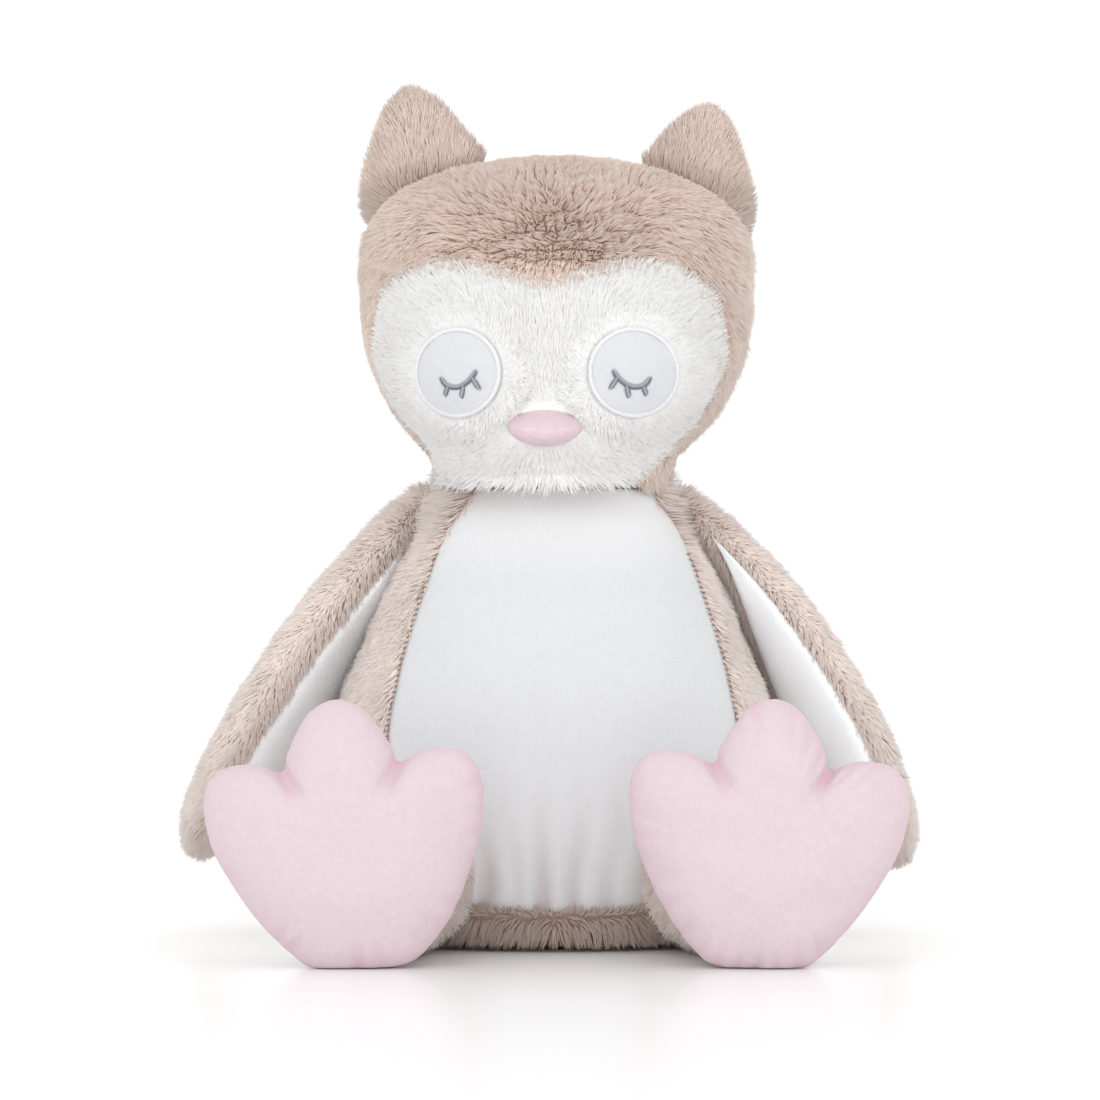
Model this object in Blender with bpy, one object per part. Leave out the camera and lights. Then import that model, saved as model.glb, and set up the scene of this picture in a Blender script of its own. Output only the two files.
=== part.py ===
"""Seated plush owl with a squeeze sound module in its base.

Units are metres, +Z is up and the owl looks along -Y. The origin is on the floor, on the
underside of the seat panel. Left and right are as seen from the front, so left is -X.
"""

import math

import bmesh
import bpy
from mathutils import Matrix, Vector

# Fits
SEAM_GAP = 0.0004        # between two sewn pieces, and between a piece and its pocket
HARD_GAP = 0.0003        # between two rigid pieces

# Body
BODY_HEIGHT = 0.202      # floor to neck seam
BODY_HALF_WIDTH = 0.101
BODY_FRONT = 0.094       # depth of the belly in front of the neck axis
BODY_BACK = 0.088
COVER_WALL = 0.0035      # pile fabric and its backing
NECK_RADIUS = 0.047
NECK_DOME = 0.016        # height of the stuffed dome that rises into the head
SEAT_THICKNESS = 0.006
BELLY_TOP_HALF = 0.0395
BELLY_WIDE_HALF = 0.077
BELLY_BOTTOM_HALF = 0.047
BELLY_BOTTOM = 0.018
BELLY_WIDE_HEIGHT = 0.085
BELLY_FULLNESS = 0.006   # how far its lower sides bow out
BELLY_SHIFT = 0.004      # the panel is sewn a little to the right

# Head
HEAD_HEIGHT = 0.145      # neck seam to crown
HEAD_HALF_WIDTH = 0.0855
HEAD_FRONT = 0.080
HEAD_BACK = 0.074
HEAD_TURN = -3.0         # degrees, the head looks a little to the left
FACE_WIDE_HALF = 0.0735
FACE_TOP = 0.0945        # top of the two brow lobes, above the neck seam
FACE_NOTCH = 0.0885      # bottom of the fur point between them
FACE_SINK = 0.0008       # how far the fur stands above the face panel

# Eyes, lashes and beak, on the face
EYE_RADIUS = 0.0187
EYE_SPREAD = 0.0385      # from the middle of the face to the middle of an eye
EYE_HEIGHT = 0.0484      # above the neck seam
EYE_FELT = 0.0016
LASH_THREAD = 0.0009     # height of the satin stitch
LASH_STROKE = 0.0026     # width of the lid line
LASH_SPAN = 0.0175
LASH_DIP = 0.0052
LASH_LENGTH = 0.0066
LASH_DROP = 0.0055       # the lid line lies this far below the middle of the eye
BEAK_HALF_WIDTH = 0.0168
BEAK_HALF_HEIGHT = 0.0086
BEAK_DEPTH = 0.0085
BEAK_HEIGHT = 0.0252     # above the neck seam
BEAK_STEM_RADIUS = 0.0025
BEAK_STEM_PROUD = 0.002  # stem past the washer
WASHER_RADIUS = 0.008
WASHER_THICKNESS = 0.0016

# Ears
EAR_LENGTH = 0.077       # root to tip, with the sewn-in root
EAR_HALF_WIDTH = 0.036
EAR_HALF_THICK = 0.0175
EAR_SPREAD = 0.051       # root, from the middle of the head
EAR_ROOT = {"left": 0.100, "right": 0.094}   # root, above the neck seam
EAR_LEAN = {"left": 7.0, "right": 12.0}      # degrees outwards

# Wings
WING_LENGTH = 0.189
WING_HALF_CHORD = 0.047
WING_HALF_THICK = 0.0155
WING_BOW = 0.002         # how far the middle of a wing stands out from a straight line
WING_HANG = {"left": 34.5, "right": 32.5}       # degrees from straight down
WING_TWIST = {"left": 16.0, "right": 28.0}
WING_ROOT_DROP = 0.012   # the shoulder seam lies this far under the neck seam
WING_ROOT_BACK = 0.012
LINING_THICKNESS = 0.002

# Legs and feet
LEG_RADIUS = 0.033
LEG_ROOT_RADIUS = 0.028
HIP_SEAM = 0.002         # the seam that hinges a leg lies this far above it
LEG_SPLAY = 0.026        # the foot end stands this much further out than the hip
FOOT_SPREAD = {"left": 0.0815, "right": 0.0850}  # from the middle to the middle of a foot
FOOT_HALF_WIDTH = 0.0585
FOOT_HEIGHT = 0.112
FOOT_HALF_THICK = 0.021
FOOT_REACH = 0.155       # middle of the foot pad, in front of the neck axis
FOOT_ROLL = {"left": 5.0, "right": 3.5}      # degrees, toes lean outwards

# Zip in the seat panel
ZIP_BACK = 0.026         # behind the neck axis
ZIP_SLOT_LENGTH = 0.106
ZIP_SLOT_WIDTH = 0.016
ZIP_OVERLAP = 0.0045     # tape sewn to the panel beside the slot
ZIP_TAPE = 0.0008
ZIP_TOOTH = 0.0016       # tooth height, centred on the tape
ZIP_TOOTH_REACH = 0.0024
ZIP_PITCH = 0.005
ZIP_RAIL_GAP = 0.0015    # between the two rows of teeth, for the slider's web
SLIDER_LENGTH = 0.0105
SLIDER_WIDTH = 0.009
SLIDER_PLATE = 0.0009
SLIDER_WEB = 0.0008
SLIDER_STOP = 0.002      # slot left free at each end of the slider's run
BAIL_HALF = 0.0041       # the loop under the slider that holds the pull
BAIL_WIDTH = 0.0012
BAIL_THICKNESS = 0.0008
PULL_BAR = 0.0009
PULL_LENGTH = 0.021
PULL_WIDTH = 0.0056

# Sound module
CASE_WIDTH = 0.072
CASE_HEIGHT = 0.058
CASE_FRONT_DEPTH = 0.018
CASE_BACK_DEPTH = 0.0195
CASE_WALL = 0.002
CASE_BACK_WALL = 0.0032
CASE_CORNER = 0.007
BOARD_THICKNESS = 0.0016
CELL_RADIUS = 0.0052
CELL_LENGTH = 0.0445
CELL_NUB = 0.0008
CELL_NUB_RADIUS = 0.0019
CELL_COUNT = 3
TRAY_WALL = 0.0012
CONTACT = 0.0006
CONTACT_SPRING = 0.0026
DOOR_THICKNESS = 0.0016
DOOR_LIP = 0.0028        # door past the bay above and below
SCREW_RADIUS = 0.0012
SCREW_HEAD_RADIUS = 0.0024
SCREW_HEAD = 0.0014
SCREW_LENGTH = 0.012
BOSS_RADIUS = 0.0031
SPEAKER_RADIUS = 0.018
SPEAKER_DEPTH = 0.0125
SPEAKER_RIM = 0.0015
SPEAKER_SPACE = 0.0025   # between the speaker and the button
SPEAKER_Z = 0.004        # above the middle of the case
GRILLE_HOLE = 0.0021
BUTTON_RADIUS = 0.0086
BUTTON_FLANGE = 0.0018   # flange past the button, inside the case
BUTTON_PROUD = 0.0024
BUTTON_TRAVEL = 0.002
BUTTON_STEM = 0.0028
BUTTON_Z = 0.006         # above the middle of the case
CHIP_RADIUS = 0.006
CHIP_HEIGHT = 0.0016
KEY_SIZE = 0.006         # tact key under the button
KEY_HEIGHT = 0.004
SPRING_RADIUS = 0.0056
SPRING_WIRE = 0.00045
SPRING_TURNS = 4
KNOB_LENGTH = 0.0034
KNOB_WIDTH = 0.0026
KNOB_PROUD = 0.002
KNOB_FLANGE = 0.0012
KNOB_FORWARD = 0.008     # in front of the joint of the case
SWITCH_HEIGHT = 0.0045
KNOB_TRAVEL = 0.004

# Mesh detail
AROUND = 28              # points round the body and the head
FILL_AROUND = 14         # points round their stuffing
LIMB_AROUND = 16
ROUND = 16               # points round a turned piece
SMALL_ROUND = 10         # points round a screw or a small hole

SIDES = {"left": -1, "right": 1}


# Scene and mesh helpers

def clear_scene():
    for obj in list(bpy.data.objects):
        bpy.data.objects.remove(obj)


def material(name, colour, roughness, metallic=0.0):
    made = bpy.data.materials.new(name)
    made.use_nodes = True
    shader = made.node_tree.nodes["Principled BSDF"]
    shader.inputs["Base Color"].default_value = (*colour, 1.0)
    shader.inputs["Roughness"].default_value = roughness
    shader.inputs["Metallic"].default_value = metallic
    return made


def pivot(name, place, turn=None):
    empty = bpy.data.objects.new(name, None)
    bpy.context.scene.collection.objects.link(empty)
    empty.location = place
    if turn:
        empty.rotation_euler = turn
    return empty


def add(name, bm, look, parent=None, smooth=True):
    """A new object from a bmesh, placed at its parent."""
    mesh = bpy.data.meshes.new(name)
    bm.to_mesh(mesh)
    bm.free()
    if smooth:
        mesh.shade_smooth()
        mesh.set_sharp_from_angle(angle=math.radians(40))
    obj = bpy.data.objects.new(name, mesh)
    bpy.context.scene.collection.objects.link(obj)
    obj.parent = parent
    if look:
        mesh.materials.append(look)
    return obj


def guide(obj):
    """Marks an object as a cutter, which isn't a piece."""
    obj.hide_render = True
    obj.display_type = "WIRE"
    return obj


def cut(obj, other, operation="DIFFERENCE"):
    modifier = obj.modifiers.new(f"{operation.lower()}_{other.name}", "BOOLEAN")
    modifier.operation = operation
    modifier.solver = "EXACT"
    modifier.object = other
    return obj


def loft(rings):
    """Rings of equally many points, joined by quads, with an n-gon on each end."""
    bm = bmesh.new()
    loops = [[bm.verts.new(p) for p in ring] for ring in rings]
    count = len(loops[0])
    for low, high in zip(loops, loops[1:]):
        for i in range(count):
            j = (i + 1) % count
            bm.faces.new((low[i], low[j], high[j], high[i]))
    bm.faces.new(list(reversed(loops[0])))
    bm.faces.new(loops[-1])
    bmesh.ops.recalc_face_normals(bm, faces=bm.faces)
    return bm


def shell(outer, inner):
    """A wall between two stacks of rings, open round their first rings and closed over their last."""
    return loft(list(reversed(inner)) + outer)


def prism(outline, start, end):
    """An (x, z) outline carried along Y from start to end."""
    return loft([[Vector((x, y, z)) for x, z in outline] for y in (start, end)])


def slab(low, high):
    """A box between two corners."""
    (x0, y0, z0), (x1, y1, z1) = low, high
    return prism([(x0, z0), (x1, z0), (x1, z1), (x0, z1)], y0, y1)


def turned(profile, segments=ROUND):
    """(radius, along) pairs turned about Y, along running towards +Y."""
    rings = []
    for radius, along in profile:
        angles = (2 * math.pi * i / segments for i in range(segments))
        rings.append([Vector((radius * math.cos(a), along, radius * math.sin(a))) for a in angles])
    return loft(rings)


def moved(bm, place):
    bmesh.ops.translate(bm, verts=bm.verts, vec=Vector(place))
    return bm


def joined(first, second):
    """Both bmeshes in one, for a cutter of several bodies."""
    mesh = bpy.data.meshes.new("joined")
    second.to_mesh(mesh)
    second.free()
    first.from_mesh(mesh)
    bpy.data.meshes.remove(mesh)
    return first


def rounded_rectangle(half_width, half_height, radius, steps=3):
    """Outline (x, z) of a rectangle with round corners."""
    points = []
    corners = ((1, 1, 0), (-1, 1, 90), (-1, -1, 180), (1, -1, 270))
    for sx, sz, start in corners:
        for i in range(steps + 1):
            angle = math.radians(start + 90 * i / steps)
            x = sx * (half_width - radius) + radius * math.cos(angle)
            z = sz * (half_height - radius) + radius * math.sin(angle)
            points.append((x, z))
    return points


def eased(stations, t):
    """Smooth values at t through rows of (t, value, value, ...)."""
    last = len(stations) - 1
    k = next((i for i in range(last) if t <= stations[i + 1][0]), last - 1)
    before, here = stations[max(k - 1, 0)], stations[k]
    after, beyond = stations[k + 1], stations[min(k + 2, last)]
    span = after[0] - here[0]
    u = (t - here[0]) / span
    values = []
    for a, b, c, d in zip(before[1:], here[1:], after[1:], beyond[1:]):
        slope_in = (c - a) / max(after[0] - before[0], 1e-9) * span
        slope_out = (d - b) / max(beyond[0] - here[0], 1e-9) * span
        values.append(
            b * (2 * u**3 - 3 * u**2 + 1) + c * (3 * u**2 - 2 * u**3)
            + slope_in * (u**3 - 2 * u**2 + u) + slope_out * (u**3 - u**2)
        )
    return values


def closed_curve(points, steps):
    """Points on a smooth closed curve through the given (x, z) points."""
    count = len(points)
    result = []
    for i in range(count):
        a, b, c, d = (Vector(points[(i + k) % count]) for k in (-1, 0, 1, 2))
        for s in range(steps):
            u = s / steps
            result.append(0.5 * (2 * b + (c - a) * u + (2 * a - 5 * b + 4 * c - d) * u**2
                                 + (3 * b - a - 3 * c + d) * u**3))
    return [(p.x, p.y) for p in result]


def oval_ring(half_width, front, back, height, power, count=AROUND):
    """A level ring, fuller than an ellipse, with its own depth in front and behind."""
    ring = []
    for i in range(count):
        angle = 2 * math.pi * i / count
        c, s = math.cos(angle), math.sin(angle)
        x = math.copysign(abs(c) ** (2 / power), c) * half_width
        y = math.copysign(abs(s) ** (2 / power), s) * (back if s > 0 else front)
        ring.append(Vector((x, y, height)))
    return ring


# Stuffed forms

# Share of the body's full size at shares of its height, and how round the section is there
BODY_SWELL = [
    (0.00, 0.77, 0.0), (0.05, 0.905, 0.0), (0.20, 1.0, 0.0), (0.40, 0.99, 0.0),
    (0.60, 0.915, 0.0), (0.80, 0.775, 0.15), (0.93, 0.62, 0.60), (1.00, 0.47, 1.0),
]
BODY_POWER = 2.25
SEAT_TOP = (SEAT_THICKNESS + SEAM_GAP) / BODY_HEIGHT
BODY_LEVELS = (0.0, SEAT_TOP, 0.06, 0.12, 0.22, 0.36, 0.50, 0.62, 0.73, 0.83, 0.92, 1.0)


def body_size(share, grow=0.0):
    """Half width, front and back depth of the body at a share of its height."""
    swell, roundness = eased(BODY_SWELL, share)
    sizes = (BODY_HALF_WIDTH, BODY_FRONT, BODY_BACK)
    return [size * swell * (1 - roundness) + NECK_RADIUS * roundness + grow for size in sizes]


def body_front_at(x, height):
    """How far the body reaches towards -Y at this x and height."""
    half_width, front, _ = body_size(height / BODY_HEIGHT)
    share = min(abs(x) / half_width, 0.999)
    return -front * (1 - share**BODY_POWER) ** (1 / BODY_POWER)


def body_side_at(height):
    return body_size(height / BODY_HEIGHT)[0]


def body_ring(level, grow=0.0, count=AROUND):
    power = BODY_POWER - (BODY_POWER - 2) * eased(BODY_SWELL, level)[1]
    return oval_ring(*body_size(level, grow), level * BODY_HEIGHT, power, count)


def body_rings(grow=0.0, levels=BODY_LEVELS, count=AROUND):
    """Level rings from the first level to the neck, then over the dome."""
    rings = [body_ring(level, grow, count) for level in levels]
    for angle in (30, 65):
        radius = NECK_RADIUS * math.cos(math.radians(angle)) + grow
        height = BODY_HEIGHT + NECK_DOME * math.sin(math.radians(angle)) + grow
        rings.append(oval_ring(radius, radius, radius, height, 2, count))
    return rings


# Share of the head's half width, front and back at shares of its height
HEAD_SWELL = [
    (0.05, 0.600, 0.86, 0.70), (0.12, 0.650, 0.93, 0.76), (0.18, 0.745, 0.97, 0.82),
    (0.27, 0.860, 0.995, 0.90), (0.42, 0.965, 0.99, 0.975), (0.58, 1.0, 0.95, 1.0),
    (0.73, 0.985, 0.87, 0.975), (0.87, 0.89, 0.72, 0.83), (0.95, 0.70, 0.53, 0.62), (1.00, 0.38, 0.28, 0.33),
]
HEAD_POWER = 2.35
DOME_TOP = (NECK_DOME + 2 * SEAM_GAP) / HEAD_HEIGHT
HEAD_LEVELS = (0.05, DOME_TOP, 0.18, 0.27, 0.38, 0.50, 0.62, 0.74, 0.84, 0.91, 0.96, 1.0)


def head_ring(level, grow=0.0, count=AROUND):
    wide, front, back = eased(HEAD_SWELL, level)
    sizes = (HEAD_HALF_WIDTH * wide + grow, HEAD_FRONT * front + grow, HEAD_BACK * back + grow)
    lift = grow * max(level - 0.8, 0.0) / 0.2
    return oval_ring(*sizes, level * HEAD_HEIGHT + lift, HEAD_POWER, count)


def head_rings(grow=0.0):
    """From the round neck opening to the crown, in the head's own frame at the neck seam."""
    opening = NECK_RADIUS + SEAM_GAP + COVER_WALL + grow
    neck = oval_ring(opening, opening, opening, SEAM_GAP, 2)
    return [neck] + [head_ring(level, grow) for level in HEAD_LEVELS]


def head_front_at(x, height):
    wide, front, _ = eased(HEAD_SWELL, height / HEAD_HEIGHT)
    share = min(abs(x) / (HEAD_HALF_WIDTH * wide), 0.999)
    return -HEAD_FRONT * front * (1 - share**HEAD_POWER) ** (1 / HEAD_POWER)


def washer_face():
    """Where the washer lies behind the deepest part of the face that it covers."""
    rim = [(WASHER_RADIUS, 0), (0, WASHER_RADIUS), (0, -WASHER_RADIUS)]
    deepest = max(head_front_at(x, BEAK_HEIGHT + z) for x, z in rim)
    return deepest + COVER_WALL * 1.2 + SEAM_GAP


def belly_outline(inset=0.0):
    """The bell-shaped front panel, in (x, z), from its bottom right round to its bottom left."""
    top = BODY_HEIGHT * 0.985
    rise = top - BELLY_WIDE_HEIGHT
    taper = BELLY_WIDE_HALF - BELLY_TOP_HALF
    right = [
        (BELLY_BOTTOM_HALF - inset, BELLY_BOTTOM + inset),
        ((BELLY_BOTTOM_HALF + BELLY_WIDE_HALF) / 2 + BELLY_FULLNESS - inset,
         (BELLY_BOTTOM + BELLY_WIDE_HEIGHT) / 2),
        (BELLY_WIDE_HALF - inset, BELLY_WIDE_HEIGHT),
        (BELLY_WIDE_HALF - taper * 0.13 - inset, BELLY_WIDE_HEIGHT + rise * 0.29),
        (BELLY_WIDE_HALF - taper * 0.35 - inset, BELLY_WIDE_HEIGHT + rise * 0.54),
        (BELLY_WIDE_HALF - taper * 0.67 - inset, BELLY_WIDE_HEIGHT + rise * 0.82),
        (BELLY_TOP_HALF - inset, top - inset),
    ]
    return [(BELLY_SHIFT + x, z) for x, z in right] + [(BELLY_SHIFT - x, z) for x, z in reversed(right)]


def face_outline(inset=0.0):
    """The heart-shaped face, in (x, z) above the neck seam, round from the fur point."""
    wide = FACE_WIDE_HALF - inset
    top, notch = FACE_TOP - inset, FACE_NOTCH - inset
    right = [
        (FACE_WIDE_HALF * 0.27, notch + (top - notch) * 0.62), (FACE_WIDE_HALF * 0.60, top),
        (wide * 0.86, FACE_TOP * 0.925 - inset), (wide * 0.955, FACE_TOP * 0.83), (wide, FACE_TOP * 0.64),
        (wide * 0.965, FACE_TOP * 0.42), (wide * 0.81, FACE_TOP * 0.20),
        (wide * 0.62, FACE_TOP * 0.055 + inset),
    ]
    bottom = [(0.0, FACE_TOP * 0.03 + inset)]
    points = right + bottom + [(-x, z) for x, z in reversed(right)]
    return [(0.0, notch)] + closed_curve([(0.0, notch)] + points, 3)[2:-1]


# Body pieces

def build_body(looks, root):
    inner = body_rings(-COVER_WALL)
    cover = add("body_cover", shell(body_rings(), inner), looks["fur"], root)
    reach = 2 * BODY_FRONT
    behind = -BODY_FRONT * 0.1
    cut(cover, guide(add("belly_cutter", prism(belly_outline(), -reach, behind), None, root)))

    panel = add("belly_panel", shell(body_rings(), inner), looks["smooth_white"], root)
    shape = prism(belly_outline(SEAM_GAP), -reach, behind)
    cut(panel, guide(add("belly_shape", shape, None, root)), "INTERSECT")


def build_seat(looks, root):
    inset = COVER_WALL + SEAM_GAP
    top = oval_ring(*body_size(SEAT_TOP, -inset - SEAM_GAP), SEAT_THICKNESS, BODY_POWER)
    panel = add("seat_panel", loft([body_ring(0.0, -inset), top]), looks["seat_fur"], root)
    low = (-ZIP_SLOT_LENGTH / 2, ZIP_BACK - ZIP_SLOT_WIDTH / 2, -SEAT_THICKNESS)
    high = (ZIP_SLOT_LENGTH / 2, ZIP_BACK + ZIP_SLOT_WIDTH / 2, 2 * SEAT_THICKNESS)
    cut(panel, guide(add("zip_slot_cutter", slab(low, high), None, root)))


# Heights of the zip, from the seat panel up
TAPE_LOW = SEAT_THICKNESS + SEAM_GAP
TAPE_HIGH = TAPE_LOW + ZIP_TAPE
TOOTH_LOW = (TAPE_LOW + TAPE_HIGH - ZIP_TOOTH) / 2
TOOTH_HIGH = TOOTH_LOW + ZIP_TOOTH
SLIDER_HIGH = TOOTH_HIGH + HARD_GAP + SLIDER_PLATE
SLIDER_LOW = TOOTH_LOW - HARD_GAP - SLIDER_PLATE
PULL_SWING = PULL_BAR * 0.72            # half the bar's diagonal, with a little air
PULL_AXIS = SLIDER_LOW - PULL_SWING
BAIL_HIGH = PULL_AXIS - PULL_SWING
BAIL_LOW = BAIL_HIGH - BAIL_THICKNESS
SLIDER_START = ZIP_SLOT_LENGTH / 2 - SLIDER_LENGTH / 2 - PULL_LENGTH - SLIDER_STOP


def build_zip(looks, root):
    half = ZIP_SLOT_LENGTH / 2 + ZIP_OVERLAP
    inner = ZIP_RAIL_GAP / 2
    outer = ZIP_SLOT_WIDTH / 2 + ZIP_OVERLAP
    tooth_half = ZIP_PITCH * 0.27
    count = int((ZIP_SLOT_LENGTH - ZIP_PITCH) / ZIP_PITCH)
    for name, side in (("zip_tape_front", -1), ("zip_tape_back", 1)):
        edge = inner + ZIP_TOOTH_REACH
        low = (-half, min(side * edge, side * outer) + ZIP_BACK, TAPE_LOW)
        high = (half, max(side * edge, side * outer) + ZIP_BACK, TAPE_HIGH)
        tape = add(name, slab(low, high), looks["zip_tape"], root, smooth=False)
        row = bmesh.new()
        for i in range(count):
            x = (i - (count - 1) / 2 + 0.25 * side) * ZIP_PITCH
            ends = sorted((side * inner, side * (edge + ZIP_TOOTH)))
            tooth = slab((x - tooth_half, ends[0] + ZIP_BACK, TOOTH_LOW),
                         (x + tooth_half, ends[1] + ZIP_BACK, TOOTH_HIGH))
            row = joined(row, tooth)
        cut(tape, guide(add(f"{name}_teeth", row, None, root, smooth=False)), "UNION")

    slider_pivot = pivot("zip_slider_pivot", (SLIDER_START, ZIP_BACK, 0.0))
    length, width = SLIDER_LENGTH / 2, SLIDER_WIDTH / 2
    lower = slab((-length, -width, SLIDER_LOW), (length, width, SLIDER_LOW + SLIDER_PLATE))
    slider = add("zip_slider", lower, looks["zip_metal"], slider_pivot, smooth=False)
    bite = SLIDER_PLATE / 2
    upper = slab((-length, -width, SLIDER_HIGH - SLIDER_PLATE), (length, width, SLIDER_HIGH))
    web = slab((-length * 0.6, -SLIDER_WEB / 2, SLIDER_LOW + bite),
               (length * 0.6, SLIDER_WEB / 2, SLIDER_HIGH - bite))
    posts = bmesh.new()
    for x in (-BAIL_HALF, BAIL_HALF - BAIL_WIDTH):
        posts = joined(posts, slab((x, -BAIL_WIDTH / 2, BAIL_LOW + BAIL_THICKNESS / 2),
                                   (x + BAIL_WIDTH, BAIL_WIDTH / 2, SLIDER_LOW + bite)))
    bar = slab((-BAIL_HALF, -BAIL_WIDTH * 0.6, BAIL_LOW), (BAIL_HALF, BAIL_WIDTH * 0.6, BAIL_HIGH))
    pieces = {"slider_upper": upper, "slider_web": web, "slider_posts": posts, "slider_bar": bar}
    for name, bm in pieces.items():
        cut(slider, guide(add(name, bm, None, slider_pivot, smooth=False)), "UNION")

    pull_pivot = pivot("zip_pull_pivot", (SLIDER_START, ZIP_BACK, PULL_AXIS))
    half_bar = PULL_BAR / 2
    pull = add("zip_pull", prism(rounded_rectangle(PULL_LENGTH / 2, PULL_WIDTH / 2, PULL_WIDTH * 0.3),
                                 -half_bar, half_bar), looks["zip_metal"], pull_pivot)
    lay_flat = Matrix.Translation((PULL_LENGTH / 2 - half_bar, 0, 0)) @ Matrix.Rotation(math.pi / 2, 4, "X")
    pull.data.transform(lay_flat)
    eye = slab((half_bar, -BAIL_WIDTH * 1.1, -PULL_BAR),
               (BAIL_HALF + BAIL_WIDTH, BAIL_WIDTH * 1.1, PULL_BAR))
    cut(pull, guide(add("pull_eye", eye, None, pull_pivot, smooth=False)))


# Sound module: places along Y run from the front face to the back face of the case
MODULE_BOTTOM = SLIDER_HIGH + HARD_GAP + KNOB_PROUD + HARD_GAP
MODULE_MIDDLE = MODULE_BOTTOM + CASE_HEIGHT / 2
FRONT_FACE = -CASE_FRONT_DEPTH
FRONT_INNER = FRONT_FACE + CASE_WALL
BACK_FACE = CASE_BACK_DEPTH
BACK_INNER = BACK_FACE - CASE_BACK_WALL
BOARD_FRONT = -BOARD_THICKNESS
TRAY_FRONT = HARD_GAP
CELL_PITCH = 2 * CELL_RADIUS + 2 * HARD_GAP
CELL_MIDDLE = TRAY_FRONT + TRAY_WALL + HARD_GAP + CELL_RADIUS
BAY_HALF_LENGTH = (CELL_LENGTH + CELL_NUB + 2 * CONTACT + CONTACT_SPRING + 5 * HARD_GAP) / 2
BAY_HALF_HEIGHT = CELL_COUNT * CELL_PITCH / 2 + HARD_GAP
BOSS_X = CASE_WIDTH / 2 - CASE_WALL - BOSS_RADIUS * 0.95
BOSS_Z = CASE_HEIGHT / 2 - CASE_WALL - BOSS_RADIUS * 0.95
BUTTON_X = CASE_WIDTH / 2 - CASE_WALL - BUTTON_RADIUS - BUTTON_FLANGE - 4 * HARD_GAP
SPEAKER_X = BUTTON_X - BUTTON_RADIUS - BUTTON_FLANGE - SPEAKER_RADIUS - SPEAKER_SPACE
DOOR_SCREW_X = BAY_HALF_LENGTH + TRAY_WALL + HARD_GAP + BOSS_RADIUS
DOOR_MARGIN = DOOR_SCREW_X - BAY_HALF_LENGTH + SCREW_HEAD_RADIUS + HARD_GAP
KNOB_Y = -KNOB_FORWARD
PILOT = SCREW_RADIUS + HARD_GAP


def case_shell(outer_face, inner_face, joint):
    """A round-cornered half case as a solid and the hollow to take out of it."""
    half_width, half_height = CASE_WIDTH / 2, CASE_HEIGHT / 2
    past_joint = joint + (joint - inner_face) * 0.2
    solid = prism(rounded_rectangle(half_width, half_height, CASE_CORNER), *sorted((outer_face, joint)))
    inside = rounded_rectangle(half_width - CASE_WALL, half_height - CASE_WALL, CASE_CORNER - CASE_WALL)
    hollow = prism(inside, *sorted((inner_face, past_joint)))
    return solid, hollow


def corner_places():
    return [(x * BOSS_X, z * BOSS_Z) for z in (-1, 1) for x in (-1, 1)]


def build_case_front(looks, module):
    joint = -HARD_GAP / 2
    solid, hollow = case_shell(FRONT_FACE, FRONT_INNER, joint)
    case = add("module_case_front", solid, looks["case"], module)
    cut(case, guide(add("case_front_hollow", hollow, None, module)))
    bosses, pilots = bmesh.new(), bmesh.new()
    for x, z in corner_places():
        boss = turned([(BOSS_RADIUS, FRONT_FACE + CASE_WALL / 2), (BOSS_RADIUS, joint)], SMALL_ROUND)
        bosses = joined(bosses, moved(boss, (x, 0, z)))
        hole = turned([(PILOT, FRONT_INNER + CASE_WALL), (PILOT, CASE_WALL)], SMALL_ROUND)
        pilots = joined(pilots, moved(hole, (x, 0, z)))
    cut(case, guide(add("case_front_bosses", bosses, None, module)), "UNION")
    openings = pilots
    through = (FRONT_FACE - CASE_WALL, FRONT_INNER + CASE_WALL)
    ring = [(0.0, 0.0)]
    for i in range(6):
        angle = math.radians(60 * i)
        ring.append((SPEAKER_RADIUS * 0.52 * math.cos(angle), SPEAKER_RADIUS * 0.52 * math.sin(angle)))
    for x, z in ring:
        hole = turned([(GRILLE_HOLE, through[0]), (GRILLE_HOLE, through[1])], SMALL_ROUND)
        openings = joined(openings, moved(hole, (SPEAKER_X + x, 0, SPEAKER_Z + z)))
    radius = BUTTON_RADIUS + HARD_GAP
    hole = turned([(radius, through[0]), (radius, through[1])])
    openings = joined(openings, moved(hole, (BUTTON_X, 0, BUTTON_Z)))
    slot_x = KNOB_LENGTH / 2 + HARD_GAP
    slot_y = KNOB_WIDTH / 2 + HARD_GAP
    bottom = -CASE_HEIGHT / 2
    slot = slab((-slot_x, KNOB_Y - slot_y, bottom - CASE_WALL),
                (slot_x + KNOB_TRAVEL, KNOB_Y + slot_y, bottom + 2 * CASE_WALL))
    cut(case, guide(add("case_front_openings", joined(openings, slot), None, module)))


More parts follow.
